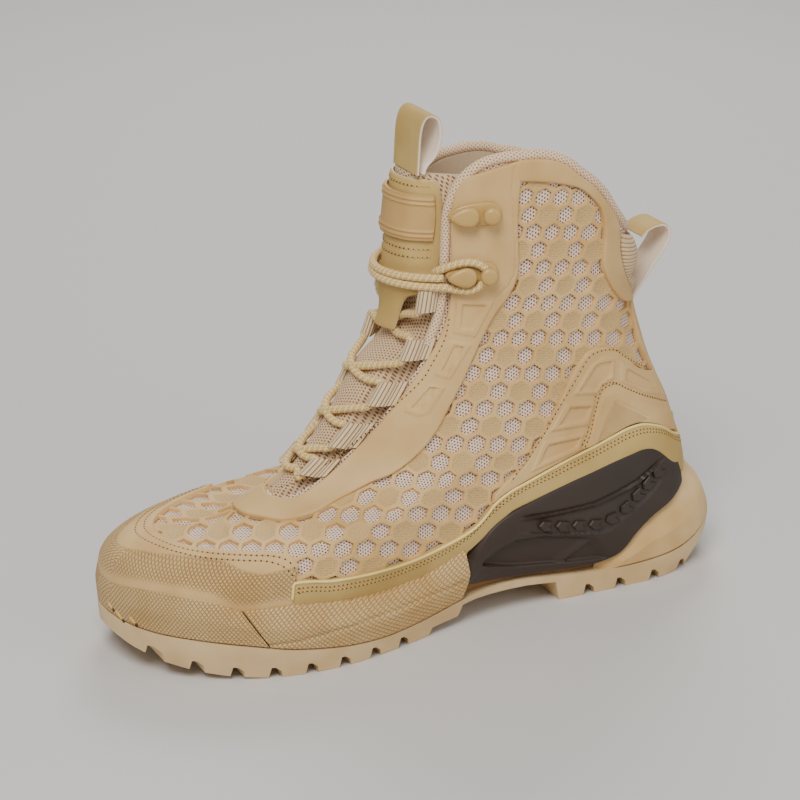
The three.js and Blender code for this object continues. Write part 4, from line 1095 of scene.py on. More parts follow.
def build_overlays(looks):
    tan, khaki = looks["tan"], looks["khaki"]
    crease = Drawing().groove([(116, 545), (140, 556), (180, 561), (230, 562), (275, 556)], 5.5, .35)
    panel("toe_cap_skin", round_toe(tucked(TOE_CAP, .4)), looks["cap"], "tan_overlay", ["toe_cap"],
          relief=crease)
    panel("mudguard_skin", round_heel(tucked(MUDGUARD, .45, .5)), khaki, "khaki_overlay", ["mudguard"],
          step=1.1, lift=BAND_LIFT)
    counter = Drawing()
    for outer, inner in COUNTER_FRAMES:
        counter.frame(outer, inner)
    counter.groove(COUNTER_ARCH, 4.2, .35)
    counter.frame([(584, 452), (592, 418), (601, 393), (613, 389), (645, 403), (668, 412), (672, 440)],
                  [(592, 449), (603, 418), (612.5, 399), (635, 409), (645, 416), (630, 430)], .55, .5)
    for name, ribs in (("outer", COUNTER), ("inner", mirrored(COUNTER))):
        panel(f"counter_{name}_skin", [[a, b - .16, c, d] for a, b, c, d in ribs], looks["counter"],
              "tan_overlay", [f"heel_counter_{name}"], step=.7, across=84, relief=counter)
    panel("back_stay_skin", BACK_STAY, tan, "tan_overlay", ["back_stay"])
    eyestay = Drawing()
    for outer, inner in EYESTAY_FRAMES:
        eyestay.frame(outer, inner)
    eyestay.groove(EYESTAY_LINE, .8, .5)
    inner = [[360 + a, b, 360 + c, d] for a, b, c, d in lowered(EYESTAY[:-1])][::-1]
    panel("eyestay_skin", EYESTAY + inner, looks["eyestay"], "tan_overlay", ["eyestay"], step=.75, across=50,
          lift=EYESTAY_LIFT, relief=eyestay)
    for name, ribs in (("outer", COLLAR_OVERLAY), ("inner", lowered(COLLAR_OVERLAY))):
        panel(f"collar_{name}_skin", ribs, tan, "tan_overlay", [f"collar_overlay_{name}"], lift=EYESTAY_LIFT)


def build_tongue(looks):
    def spot(s, t):
        ring = lerp(5.98, 11.5, s)
        edge = value_at(THROAT, ring) - lerp(6, 10, s)
        turn = lerp(edge, 360 - edge, t)
        lift = tongue_lift(turn, ring)
        thick = TONGUE_THICK * rounded(min(t, 1 - t) * 60, 5, .5) * rounded(min(s, 1 - s) * 150, 5, .5)
        p, n = SKIN.point(turn, ring), SKIN.normal(turn, ring)
        return p + n * lift, p + n * (min(lift, -UNDER_THROAT) - thick), (s * 150, t * 74)
    shell("tongue_pad", (110, 64), spot, [looks["tongue"], looks["lining"]], "upper_mesh", ["tongue"],
          soft=.7)


def tongue_strip(name, rows, lift, thick, looks, slot, nodes, rims=()):
    def tail(ring):
        return TAIL * (1 - smooth(9.6, 10.05, ring))
    length = 75.0

    def spot(s, t):
        ring, a, b = row_at(rows, s * (len(rows) - 1))
        turn = lerp(turn_at_x(ring, b * BALL), turn_at_x(ring, a * BALL), t)
        base = tongue_lift(turn, ring) + tail(ring) + lift
        p, n = SKIN.point(turn, ring), SKIN.normal(turn, ring)
        wide = (b - a) * BALL
        high = thick * rounded(min(t * wide, (1 - t) * wide, s * length, (1 - s) * length), .8, .5)
        high += sum(.7 * math.exp(-((s - rim) / .028) ** 2) for rim in rims)
        return p + n * (base + high), p + n * base, (s * length, t * wide)
    return shell(name, (60, 26), spot, looks, slot, nodes)


STRAP_ROWS = [[9.12, -.03, .11], [9.4, -.05, .115], [9.62, -.08, .14], [9.8, -.135, .215],
              [10.3, -.135, .22], [10.9, -.13, .215], [11.2, -.12, .205], [11.42, -.11, .185]]
BADGE_ROWS = [[10.5, -.125, .2], [10.85, -.125, .2], [11.2, -.115, .19]]


def build_tongue_trim(looks):
    tongue_strip("tongue_strap_skin", STRAP_ROWS, 2 * FIT, OVERLAY, [looks["khaki"], looks["pale"]],
                 "khaki_overlay", ["tongue_strap"])
    tongue_strip("tongue_badge_plate", BADGE_ROWS, 4 * FIT + OVERLAY, OVERLAY, looks["badge"], "tan_overlay",
                 ["tongue_badge"], rims=(.1, .2, .8, .9))
    faces = [looks["khaki"], looks["pale"]]
    pull("tongue_pull_tab", TONGUE_PULL, 11.5, .04 * BALL, faces, "tongue_pull")
    pull("heel_pull_tab", HEEL_PULL[::-1], 8.5, 0.0, faces, "heel_pull")


def pull(name, path, half, middle, faces, node, thick=1.5):
    """Folded pull tab: khaki outside, pale inside and along its edges"""
    line = smooth_path([Vector((0, y * LENGTH, z * COLLAR)) for y, z in path], .8)

    def spot(s, t):
        k = round(s * (len(line) - 1))
        a, b = line[max(k - 1, 0)], line[min(k + 1, len(line) - 1)]
        run = (b - a).normalized()
        out = Vector((0, -run.z, run.y))
        across = lerp(-half, half, dense_at_ends(t))
        p = line[k] + Vector((middle + across, 0, 0))
        high = thick / 2 * rounded(half - abs(across), .7, .45)
        return p + out * high, p - out * high, (s * .8 * len(line), across)
    return shell(name, (len(line) - 1, 16), spot, faces, "khaki_overlay", [node])


def build_collar(looks):
    def half_turn(u):
        return value_at([(0, 15), (.15, 19.5), (.35, 28), (.6, 36.5), (.85, 41), (1, 41)], u)

    def spot(s, t):
        a = 2 * t - 1
        turn, ring = a * half_turn(s), lerp(8.2, 9.74 + .34 * a * a, s)
        if s < .4:
            lobe = .7 * math.sin(math.pi * s / .4) ** .6
        else:
            lobe = max(math.sin(math.pi * (s - .4) / .6), 0) ** .6
        puff = OVERLAY + BELLOWS * math.sqrt(max(1 - a * a, 0)) * lobe
        p, n = SKIN.point(turn, ring), SKIN.normal(turn, ring)
        return p + n * (.5 + puff), p + n * .5, (s * 46, t * 60)
    shell("bellows_pad", (64, 48), spot, looks["rib"], "collar_knit", ["collar_bellows"], soft=.8)
    path = []
    count = 110
    for i in range(-count, count + 1):
        share, inner = .66 * abs(i) / count, i > 0
        side = -1 if inner else 1
        turn, ring = opening_at(share, inner)
        t2, r2 = opening_at(max(share - .01, 0), inner)
        t3, r3 = opening_at(min(share + .01, 1), inner)
        run = skin(side * t3, r3, -WALL / 2) - skin(side * t2, r2, -WALL / 2)
        out = SKIN.normal(side * turn, ring)
        away = run.cross(out).normalized() * side
        path.append(skin(side * turn, ring, -.35) + away * (BINDING + .1))
    bm = bmesh.new()
    add_tube(bm, path, 1.12 * BINDING, 18)
    dressed(bm, "collar_roll", looks["knit"], "collar_knit", ["collar_binding"], soft=.6)


def build_sole_sides(looks):
    ribs = on_wall(BUMPER) + [[164, 0, 164, .569], [180, 0, 180, .542]]
    wall_piece("toe_bumper_rubber", round_toe(ribs), looks["bumper"], "side_rubber", ["toe_bumper"],
               (260, 44))
    for name, flip in (("outer", False), ("inner", True)):
        rows = on_wall(SIDE_FOXING)
        wall_piece(f"foxing_{name}_rubber", mirrored(rows) if flip else rows, looks["foxing"], "side_rubber",
                   [f"side_foxing_{name}"], (190, 44), relief=Drawing().groove(FOXING_CREASE, 1.8, .8))
        rows = on_wall(CLIP)
        wall_piece(f"clip_{name}_plastic", mirrored(rows) if flip else rows, looks["clip"], "clip_plastic",
                   [f"shank_clip_{name}"], (230, 96), top=.5, bottom=.8, relief=clip_relief())
    ribs = on_wall(HEEL_CUP) + [[28, 0, 27, .618], [18, 0, 17, .66], [0, 0, 0, .681]]
    wall_piece("heel_cup_rubber", round_heel(ribs), looks["cup"], "tread_rubber", ["heel_cup"], (220, 46))


def build_chevrons(looks):
    """Row of raised chevrons in the band of each clip"""
    for name, side in (("outer", 1), ("inner", -1)):
        bm = bmesh.new()
        for x, y, lean in CLIP_CHEVRONS:
            turned = Matrix.Rotation(math.radians(-lean), 2)
            middle = Vector((x, y))
            loops = []
            for share, lift in ((1.0, -2.2), (1.0, .25), (.84, .7)):
                loop = []
                for px, py in CHEVRON:
                    seen = middle + turned @ (Vector((px, py)) * share)
                    turn, ring = found(seen.x, seen.y, 70, 3.6, SIDE)
                    p = SIDE.point(turn, ring) + SIDE.normal(turn, ring) * lift
                    loop.append(bm.verts.new(framed(Vector((side * p.x, p.y, p.z)))))
                loops.append([bm.edges.new((a, b)) for a, b in zip(loop, loop[1:] + loop[:1])])
            for a, b in zip(loops, loops[1:]):
                bmesh.ops.bridge_loops(bm, edges=a + b)
            for ends in (loops[0], loops[-1]):
                bmesh.ops.holes_fill(bm, edges=ends, sides=0)
        dressed(bm, f"chevrons_{name}", looks["clip"], "clip_plastic", sharp=25)


def clip_relief():
    def relief(x, y, *_):
        high = 0.0
        d = to_line(x, y, CLIP_RIDGE)
        above = y < value_at(CLIP_RIDGE, clamp(x, 524, 666))
        along = smooth(518, 536, x) * (1 - smooth(652, 668, x))
        high += along * (1.0 * math.exp(-(d / 2.6) ** 2) if not above else -.9 * math.exp(-(d / 1.8) ** 2))
        if not above and y < value_at(CLIP_BAND, clamp(x, 530, 667)):
            high -= along * smooth(1.5, 3.5, d)
        hollow = depth_in(x, y, CLIP_HOLLOW)
        if hollow > -1:
            deep = smooth(-.5, 3.5, hollow)
            high -= 4.2 * deep
            high += 2.6 * deep * math.exp(-(to_line(x, y, CLIP_FOLD) / 3.0) ** 2)
        return high
    return relief


# Sole
def side_prism(outline, half=80.0, middle=0.0):
    """Prism across the boot from a side-view outline, as a mesh"""
    bm = bmesh.new()
    verts = [bm.verts.new(framed(Vector((middle - half, y, z)))) for y, z in outline]
    face = bm.faces.new(verts)
    made = bmesh.ops.extrude_face_region(bm, geom=[face], use_keep_orig=True)
    bmesh.ops.translate(bm, verts=[v for v in made["geom"] if isinstance(v, bmesh.types.BMVert)],
                        vec=(2 * half * MM, 0, 0))
    bmesh.ops.recalc_face_normals(bm, faces=bm.faces)
    return bm


def scratch(bm, name):
    mesh = bpy.data.meshes.new(name)
    bm.to_mesh(mesh)
    bm.free()
    piece = bpy.data.objects.new(name, mesh)
    bpy.context.scene.collection.objects.link(piece)
    return piece


def cut(piece, tool, operation):
    """Boolean of two scratch objects; the tool is removed"""
    change = piece.modifiers.new("cut", "BOOLEAN")
    change.operation, change.solver, change.object = operation, "EXACT", tool
    bpy.context.view_layer.update()
    graph = bpy.context.evaluated_depsgraph_get()
    mesh = bpy.data.meshes.new_from_object(piece.evaluated_get(graph))
    piece.modifiers.clear()
    piece.data = mesh
    bpy.data.objects.remove(tool)


def underside(y):
    k = 0
    while k < len(UNDERSIDE) - 2 and y > UNDERSIDE[k + 1][0]:
        k += 1
    (ya, za), (yb, zb) = UNDERSIDE[k], UNDERSIDE[k + 1]
    return lerp(za, zb, (y - ya) / (yb - ya))


def build_tread(looks):
    bm = bmesh.new()
    around, levels = 160, [0, .3, .6, 1.0, 1.4, 1.9, 2.4]
    loops = []
    for level in levels:
        loop = []
        for i in range(around):
            turn = i * 360 / around
            loop.append(bm.verts.new(framed(SIDE.point(turn - 360 if turn > 180 else turn, level))))
        loops.append([bm.edges.new((loop[k], loop[(k + 1) % around])) for k in range(around)])
    bm.edges.ensure_lookup_table()
    for a, b in zip(loops, loops[1:]):
        bmesh.ops.bridge_loops(bm, edges=a + b)
    for ends in (loops[0], loops[-1]):
        bmesh.ops.holes_fill(bm, edges=ends, sides=0)
    bmesh.ops.recalc_face_normals(bm, faces=bm.faces)
    slab = scratch(bm, "tread_slab")
    top = [(lerp(.523, -.523, k / 80) * LENGTH, 0) for k in range(81)]
    outline = UNDERSIDE + [(y, tread_top(y)) for y, _ in top]
    cut(slab, scratch(side_prism(outline), "tread_side"), "INTERSECT")
    tools = bmesh.new()

    def add(outline_, half=80.0, middle=0.0):
        part = side_prism(outline_, half, middle)
        mesh = bpy.data.meshes.new("tool")
        part.to_mesh(mesh)
        part.free()
        tools.from_mesh(mesh)
        bpy.data.meshes.remove(mesh)
    n = 6.0
    for share in NOTCHES:
        y = share * LENGTH
        z = underside(y)
        add([(y - .53 * n, z - n / 2), (y + .63 * n, z - n / 2), (y + .37 * n, z + .53 * n),
             (y - .1 * n, z + .93 * n), (y - .4 * n, z + .93 * n)])
    cut(slab, scratch(tools, "notches"), "DIFFERENCE")
    for x in (-.21 * BALL, .21 * BALL):
        tools = bmesh.new()
        for a, b, shift in ((-.386 * LENGTH, -.052 * LENGTH, .02 * BALL), (.203 * LENGTH, .425 * LENGTH, 0)):
            add([(a, -3), (b, -3), (b - 3, 4), (a + 3, 4)], 2.0, x + shift)
        cut(slab, scratch(tools, "channels"), "DIFFERENCE")
    bm = bmesh.new()
    bm.from_mesh(slab.data)
    bpy.data.objects.remove(slab)
    bmesh.ops.remove_doubles(bm, verts=bm.verts, dist=2e-6)
    bmesh.ops.dissolve_degenerate(bm, edges=bm.edges, dist=5e-6)
    piece = dressed(bm, "tread", looks["tread"], "tread_rubber", ["outsole"], sharp=32)
    soften = piece.modifiers.new("edges", "BEVEL")
    soften.width, soften.segments, soften.limit_method = .55 * MM, 2, "ANGLE"
    soften.angle_limit = math.radians(40)
    soften.harden_normals = False


# Fastening
def build_loops(looks):
    """Ribbed webbing from under the eyestay, folded round the lace"""
    for k, (turn, ring) in enumerate(LOOPS):
        wide = (.17, .17, .2, .22, .17)[k]
        for side, word in ((1, "outer"), (-1, "inner")):
            reach = 7.5
            route = [(-5.5, 1.0), (-1.5, 1.15), (1.0, 3.0), (4.2, 5.1), (reach, 4.6), (reach + 1.8, 2.6),
                     (reach + .2, .5), (3.5, .1), (-1.0, .3), (-5.5, .2)]
            rows = [list(q) for q in route]

            def spot(s, t, side=side, turn=turn, ring=ring, wide=wide, rows=rows):
                k = s * (len(rows) - 1)
                off, lift = row_at(rows, k)
                o2, l2 = row_at(rows, min(k + .05, len(rows) - 1))
                o1, l1 = row_at(rows, max(k - .05, 0))
                r = ring + lerp(-wide, wide, t)
                a, b = skin(side * (turn + o1), r, l1), skin(side * (turn + o2), r, l2)
                run = (b - a).normalized()
                across = (skin(side * (turn + off), ring + wide, lift)
                          - skin(side * (turn + off), ring - wide, lift)).normalized()
                out = run.cross(across).normalized() * side
                p = skin(side * (turn + off), r, lift)
                return p - out * .38, p + out * .38, (s * 36, t * 10)
            shell(f"loop_{word}_{k + 1}_webbing", (40, 14), spot, looks["webbing"], "webbing",
                  [f"lace_loop_{word}_{k + 1}"])


def tear(h, u):
    """Point of the hook plate's outline at a share of its length round; the point is toward +X"""
    corners = [(-.24, .21), (.08, .22), (.44, .18), (.52, 0), (.44, -.18), (.08, -.22), (-.24, -.21),
               (-.5, -.18), (-.5, .18), (-.24, .21)]
    k = min(int(u * 3), 2)
    f = u * 3 - k
    weights = ((1 - f) ** 3, 3 * (1 - f) ** 2 * f, 3 * (1 - f) * f * f, f ** 3)
    near = corners[3 * k:3 * k + 4]
    x, y = (sum(w * p[i] for w, p in zip(weights, near)) for i in (0, 1))
    return Vector((x, y, 0)) * h


def add_stack(bm, layers, place, sides=36):
    """Closed stack of outlines; each layer is a function of the share round that gives a point"""
    loops = []
    for layer in layers:
        verts = [bm.verts.new(framed(place @ layer(k / sides))) for k in range(sides)]
        loops.append([bm.edges.new((verts[k], verts[(k + 1) % sides])) for k in range(sides)])
    for a, b in zip(loops, loops[1:]):
        bmesh.ops.bridge_loops(bm, edges=a + b)
    for ends in (loops[0], loops[-1]):
        bmesh.ops.holes_fill(bm, edges=ends, sides=0)


def build_hooks(looks):
    h = 25.0
    for name, (turn, ring) in HOOKS.items():
        side = -1 if turn < 0 else 1
        at = skin(turn, ring, .5 + OVERLAY + 2 * FIT)
        out = SKIN.normal(turn, ring)
        along = Vector((0, -1, 0))
        along = (along - out * along.dot(out)).normalized()
        across = out.cross(along)
        place = Matrix((along, across, out)).transposed().to_4x4()
        place.translation = at
        bm = bmesh.new()

        def plate(scale, z, dx=0.0):
            return lambda u: tear(h, u) * scale + Vector((dx, 0, z * h))
        add_stack(bm, [plate(.93, -.004), plate(1.0, .012), plate(1.0, .045), plate(.95, .066),
                       plate(.84, .078)], place)

        def disc(r, z):
            return lambda u: Vector((-.24 * h + r * h * math.cos(2 * math.pi * u),
                                     r * h * math.sin(2 * math.pi * u), z * h))
        add_stack(bm, [disc(.145, .05), disc(.135, .09), disc(.13, .2), disc(.152, .215), disc(.16, .235),
                       disc(.158, .262), disc(.135, .29), disc(.09, .306)], place, 28)

        def lip(scale, z):
            return lambda u: Vector((lerp(-.02, .5, (1 + math.cos(2 * math.pi * u)) / 2) * h * scale
                                     + (1 - scale) * .22 * h,
                                     .17 * h * scale * math.sin(2 * math.pi * u)
                                     * (1 - .35 * math.cos(2 * math.pi * u)), z * h))
        add_stack(bm, [lip(.82, .19), lip(.95, .2), lip(1.0, .225), lip(.97, .25), lip(.85, .272),
                       lip(.6, .285)], place)

        def post(r, z):
            return lambda u: Vector((.3 * h + 1.25 * r * h * math.cos(2 * math.pi * u),
                                     r * h * math.sin(2 * math.pi * u), z * h))
        add_stack(bm, [post(.135, .06), post(.105, .1), post(.095, .15), post(.11, .2)], place, 24)
        dressed(bm, f"hook_{name}_painted", looks["hook"], "hook_metal",
                [f"speed_hook_{name}"], sharp=50)


IN_LOOP = 2.6  # the lace's middle over the upper, where it runs through a loop


def over_tongue(turn, ring):
    return tongue_lift(turn, ring) + LACE / 2 + .9


def strand(a, b, steps=6):
    """Way of the lace over the tongue between two loops"""
    out = []
    for i in range(1, steps):
        u = i / steps
        turn, ring = lerp(a[0], b[0], u), lerp(a[1], b[1], u)
        lift = lerp(IN_LOOP, over_tongue(turn, ring), smooth(.0, .26, min(u, 1 - u)))
        out.append(skin(turn, ring, lift))
    return out


def build_laces(looks):
    def node(k, inner):
        t = LOOPS[k][0] + 7.6
        return (360 - t if inner else t), LOOPS[k][1]

    def through(k, inner, gap=.17):
        turn, ring = node(k, inner)
        return [skin(turn, ring - gap, IN_LOOP), skin(turn, ring + gap, IN_LOOP)]

    bm = bmesh.new()
    for first in (False, True):
        inner = first
        route = []
        if not first:
            route += [skin(*node(4, True), IN_LOOP)] + strand(node(4, True), node(4, False))
        for k in range(4, -1, -1):
            route += through(k, inner) if k else through(k, inner)[:1]
            if k:
                route += strand((node(k, inner)[0], node(k, inner)[1] + .17),
                                (node(k - 1, not inner)[0], node(k - 1, not inner)[1] - .17))
            inner = not inner
        last_inner = not inner
        mirror = (lambda t: 360 - t) if last_inner else (lambda t: t)
        route += [skin(mirror(146), 9.72, 1.4), skin(mirror(143), 9.82, .4), skin(mirror(140), 9.9, .3)]
        add_tube(bm, smooth_path(route, 1.0), LACE / 2, 14, swell=cord_swell)
    dressed(bm, "lace_crossed", looks["lace"], "lace_cord", ["lace_crossings"], sharp=60)
    bm = bmesh.new()
    over = LACE / 2 + OVERLAY + 3 * FIT
    lower, upper, loop = 9.83, 9.97, 10.12
    ends = [(118.5, .02, 1.9), (123, -.06, 1.4), (129, -.04, 1.0), (135, 0, .6)]
    first = [skin(t, lower + r, over + up) for t, r, up in ends]
    first += [skin(lerp(140, 220, k / 7), lower + .01 * k, over + .2) for k in range(8)]
    first += [skin(360 - t, lower + r, over + up) for t, r, up in reversed(ends)]
    second = [skin(136.5, upper, over - .3)]
    second += [skin(lerp(140, 220, k / 7), upper, over + .1) for k in range(8)]
    second += [skin(223.5, upper, over - .3)]
    add_tube(bm, smooth_path(first, 1.0), LACE / 2, 14, swell=cord_swell)
    add_tube(bm, smooth_path(second, 1.0), LACE / 2, 14, swell=cord_swell)
    for mirror in (1, -1):
        back = [skin(mirror * 118.5, lower + .02, over + 1.9), skin(mirror * 116.2, 9.93, over + 1.9),
                skin(mirror * 117.5, 10.08, over + 1.9), skin(mirror * 122, loop + .08, over + 1.7),
                skin(mirror * 128, loop + .1, over + 1.4), skin(mirror * 134, loop + .05, over + .9),
                skin(mirror * 138.5, loop - .02, over - .6), skin(mirror * 141.5, loop - .08, over - 3.2)]
        add_tube(bm, smooth_path(back, 1.0), LACE / 2, 14, swell=cord_swell)
    dressed(bm, "lace_turned", looks["lace"], "lace_cord", ["lace_turns"], sharp=60)


BRAID_PITCH = 2.6


def cord_swell(a, k):
    """Slight lumps of a braided cord's strands"""
    turn = a / BRAID_PITCH
    return 1 + .035 * math.cos(2 * math.pi * (turn + 2 * k)) * math.cos(2 * math.pi * (turn - 2 * k))


# Stitches, painted shade of needle holes, and piping
def add_stitches(bm, line, lift, step=2.3, long=1.35, thick=.4):
    """Row of stitches along (turn, ring) places: thread, and between two a flat dark mark, painted shade for
    a needle hole
    """
    route = [Vector((t, r, 0)) for t, r in line]
    places, lengths = [], [0.0]
    rows = [list(p) for p in route]
    for k in range(8 * (len(rows) - 1) + 1):
        t, r, _ = row_at(rows, k / 8)
        places.append((t, r))
    for a, b in zip(places, places[1:]):
        lengths.append(lengths[-1] + (skin(*a) - skin(*b)).length)
    i, want = 0, step / 2
    while want < lengths[-1] - step / 2:
        while lengths[i + 1] < want:
            i += 1
        f = (want - lengths[i]) / (lengths[i + 1] - lengths[i])
        turn, ring = lerp(places[i][0], places[i + 1][0], f), lerp(places[i][1], places[i + 1][1], f)
        n = SKIN.normal(turn, ring)
        run = (skin(*places[i + 1]) - skin(*places[i])).normalized()
        across = n.cross(run)
        centre = SKIN.point(turn, ring) + n * (lift(turn, ring) if callable(lift) else lift)
        # kind 1 is a flat dark disc: painted shade for the needle hole
        for kind, at, size in ((0, centre, (long / 2, thick * .62, thick * .55)),
                               (1, centre + run * (step / 2), (thick * 1.3, thick * 1.1, .14))):
            place = Matrix((run * size[0], across * size[1], n * size[2])).transposed().to_4x4()
            place.translation = at + ORIGIN
            place = Matrix.Scale(MM, 4) @ place
            made = bmesh.ops.create_icosphere(bm, subdivisions=1, radius=1, matrix=place)
            for face in {f for v in made["verts"] for f in v.link_faces}:
                face.material_index = kind
        want += step


def over_strap(turn, ring):
    return .2 + tongue_lift(turn, ring) + TAIL * (1 - smooth(9.6, 10.05, ring)) + 2 * FIT + OVERLAY


def add_thread(bm, a, b):
    """One long stitch on the sole's side, with a flat dark mark at its end, painted shade for a needle hole
    """
    start, end = SIDE.point(*a), SIDE.point(*b)
    run = (end - start).normalized()
    out = SIDE.normal(*a)
    out = (out - run * out.dot(run)).normalized()
    across = out.cross(run)
    long = (end - start).length / 2
    # kind 1 is a flat dark disc: painted shade for the needle hole
    for kind, at, size in ((0, (start + end) / 2, (long, .75, .75)), (1, end + run * .5, (.9, .9, .4))):
        place = Matrix((run * size[0], across * size[1], out * size[2])).transposed().to_4x4()
        place.translation = at + out * .1 + ORIGIN
        made = bmesh.ops.create_icosphere(bm, subdivisions=2, radius=1, matrix=Matrix.Scale(MM, 4) @ place)
        for face in {f for v in made["verts"] for f in v.link_faces}:
            face.material_index = kind


def seen_line(pixels, start, lift=0.0):
    """Places on the last of a line of pixels"""
    out = []
    for x, y in pixels:
        place = found(x, y, *start, lift=lift)
        if place:
            out.append(place)
            start = place
    return out


def inset_line(ribs, share_at, first=0, last=None):
    """Line inside a panel: share_at(width) gives the share across"""
    sheet = Ribs(ribs)
    out = []
    for k in range(first, (last or 60) + 1):
        _, _, _, _, wide = sheet.at(k / 60, .5)
        turn, ring, *_ = sheet.at(k / 60, share_at(wide))
        out.append((turn, ring))
    return out


def build_stitching(looks):
    bm = bmesh.new()
    top = HEM_GAP + OVERLAY
    band = BAND_LIFT + OVERLAY
    mud = round_heel(MUDGUARD)
    for inset in (2.7, 4.5):
        add_stitches(bm, inset_line(mud, lambda w, d=inset: 1 - d / w), band, 2.1)
    line = seen_line(COUNTER_STITCH, (79, 3.6))
    for flip in (1, -1):
        add_stitches(bm, [(flip * t, r) for t, r in line], top, 2.5)
        for off in (-1.6, 1.6):
            moved = seen_line([(x + off * .9, y + off * .5) for x, y in COUNTER_ARCH], (57, 4.0))
            add_stitches(bm, [(flip * t, r) for t, r in moved], top - .3, 2.1)
    line = [(t, r) for t, r in seen_line(EYESTAY_STITCH, (130, 9.2)) if t < 179]
    line.append((180, line[-1][1] + .03))
    for side in (1, -1):
        add_stitches(bm, [(side * 122.7, 1.1), (side * 122.3, 1.7)], band, 2.1)
    for flip in (False, True):
        add_stitches(bm, [((360 - t) if flip else t, r) for t, r in line], EYESTAY_TOP, 2.5)
    cap = round_toe(TOE_CAP)
    for inset in (2.6, 5.4):
        add_stitches(bm, inset_line(cap, lambda w, d=inset: 1 - d / w), top, 2.4, long=.7, thick=.42)
    for ring, edge in ((11.32, .02), (10.36, .02), (10.24, .02), (9.9, .03)):
        _, a, b = row_at([(r[0], r[1], r[2]) for r in STRAP_ROWS],
                         value_at([(r[0], i) for i, r in enumerate(STRAP_ROWS)], ring))
        line = [(turn_at_x(ring, lerp(b - edge, a + edge, k / 12) * BALL), ring) for k in range(13)]
        add_stitches(bm, line, over_strap, 2.1)
    for (ax, ay), (bx, by) in BUMPER_STITCHES:
        add_thread(bm, found(ax, ay, 166, 2.0, SIDE), found(bx, by, 166, 2.0, SIDE))
    dressed(bm, "stitching", [looks["thread"], looks["hole_shade"]], "tan_overlay", sharp=60)


def build_piping(looks):
    bm = bmesh.new()
    edge = inset_line(round_heel(MUDGUARD), lambda w: 1 - .25 / w)
    front = [(124.2, 1.1), (124, 1.35), (123.75, 1.65)]
    edge = front + edge + [(-t, r) for t, r in front[::-1]]
    route = [skin(t, r, BAND_LIFT + OVERLAY * .9) for t, r in edge]
    add_tube(bm, smooth_path(route, 1.6), PIPING, 10)
    dressed(bm, "piping", looks["piping"], "khaki_overlay", sharp=60)


# Materials
def make_looks():
    tan, tan_shade = tone(205, 180, 145), tone(188, 160, 124)
    khaki, khaki_shade = tone(190, 169, 130), tone(172, 150, 112)
    rubber, rubber_shade = tone(206, 182, 148), tone(190, 162, 126)
    looks = {
        "tan": leather("tan_leather", tan, tan_shade),
        "eyestay": leather("eyestay_leather", tan, tan_shade),
        "counter": leather("counter_leather", tan, tan_shade, lined=panel_sides(COUNTER_PANEL, (62, 4.3))),
        "cap": leather("toe_cap_leather", tan, tan_shade, hatched=(2.0, 17.0)),
        "khaki": leather("khaki_leather", khaki, khaki_shade, grain=.8, deep=.06, rough=.72),
        "badge": leather("badge_leather", tone(186, 160, 124), tone(170, 142, 108), rough=.6),
        "bumper": leather("bumper_rubber", rubber, rubber_shade, grain=.8, hatched=(-5.0, 19.0), rough=.7),
        "foxing": leather("foxing_rubber", rubber, rubber_shade, grain=.9, hatched=(-5.0, 60.0), rough=.72),
        "cup": leather("heel_cup_rubber", tone(214, 192, 160), rubber_shade, grain=.9, rough=.66),
        "tread": leather("tread_rubber", tone(216, 196, 166), tone(200, 176, 144), grain=1.0, rough=.75),
        "clip": leather("clip_plastic", tone(47, 37, 30), tone(39, 30, 24), grain=.5, deep=.03, rough=.52),
        "hook": leather("hook_paint", tone(188, 163, 124), tone(172, 146, 108), grain=.6, deep=.02, rough=.4,
                        coat=.2),
        "midsole": leather("midsole_foam", tone(146, 112, 84), tone(120, 90, 66), grain=1.2, rough=.8),
        "piping": leather("piping_cord", tone(238, 222, 176), tone(222, 203, 154), grain=.5, deep=.03,
                          rough=.45, coat=.15),
        "thread": leather("thread", tone(206, 180, 136), tone(190, 160, 116), grain=.4, rough=.75),
        # painted shade for the needle holes
        "hole_shade": leather("needle_hole_shade", tone(84, 58, 38), tone(70, 48, 32), rough=.9),
        "pale": leather("pale_lining", tone(232, 222, 210), tone(216, 204, 190), grain=.7, rough=.85),
    }
    # the second colour of each mesh cloth is painted shade in its holes
    looks["mesh"] = mesh_cloth("side_mesh", tone(226, 206, 190), tone(62, 42, 34), 1.3, "side")
    looks["tongue"] = mesh_cloth("tongue_mesh", tone(204, 180, 152), tone(112, 82, 58), 1.45, "front")
    looks["knit"] = mesh_cloth("binding_knit", tone(222, 200, 176), tone(158, 126, 98), 1.3, "roll")
    looks["lining"] = lining()
    looks["hex"] = leather("hexagon_leather", tone(208, 182, 146), tone(192, 164, 126))
    looks["tile"] = tile()
    # the second colour of bellows and webbing is painted shade between their ribs, and random tone
    looks["rib"] = ribbed("bellows_knit", tone(214, 194, 168), tone(160, 128, 98), 2.3, across=True)
    looks["webbing"] = ribbed("webbing", tone(220, 202, 176), tone(112, 86, 62), 2.3, across=True)
    looks["lace"] = braid()
    looks["felt"] = felt()
    return looks


def mesh_cloth(name, colour, hole_shade, pitch, lie):
    """Light knitted mesh with rows of small holes painted dark as shade; lie names the way the cloth lies"""
    look = Look(name)
    x, y, z = look.parts(look.place())
    if lie == "side":
        u, v = y, (z - x.abs()) * .85
    elif lie == "front":
        u, v = x, (z + y) * .8
    else:
        along, share, _ = look.parts(look.place("UV"))
        u, v = along, share * (2 * math.pi * BINDING)
    warp = look.noise(look.place(), 2.6, 2.0)
    wave = honeycomb(u + warp * .55, v + warp * .55, pitch)
    hole = wave.between(.5, 1.5)
    yarn = look.noise(look.place(), .35, 3.0)
    base = look.mix(yarn.between(.3, .7) * .4, colour, tone(236, 222, 206))
    # painted shade: the holes take the dark colour
    base = look.mix(hole * .92, base, hole_shade)
    normal = look.bump(yarn * .3 - hole * .9, .3)
    return look.finish(base, .88, normal, sheen=.1)


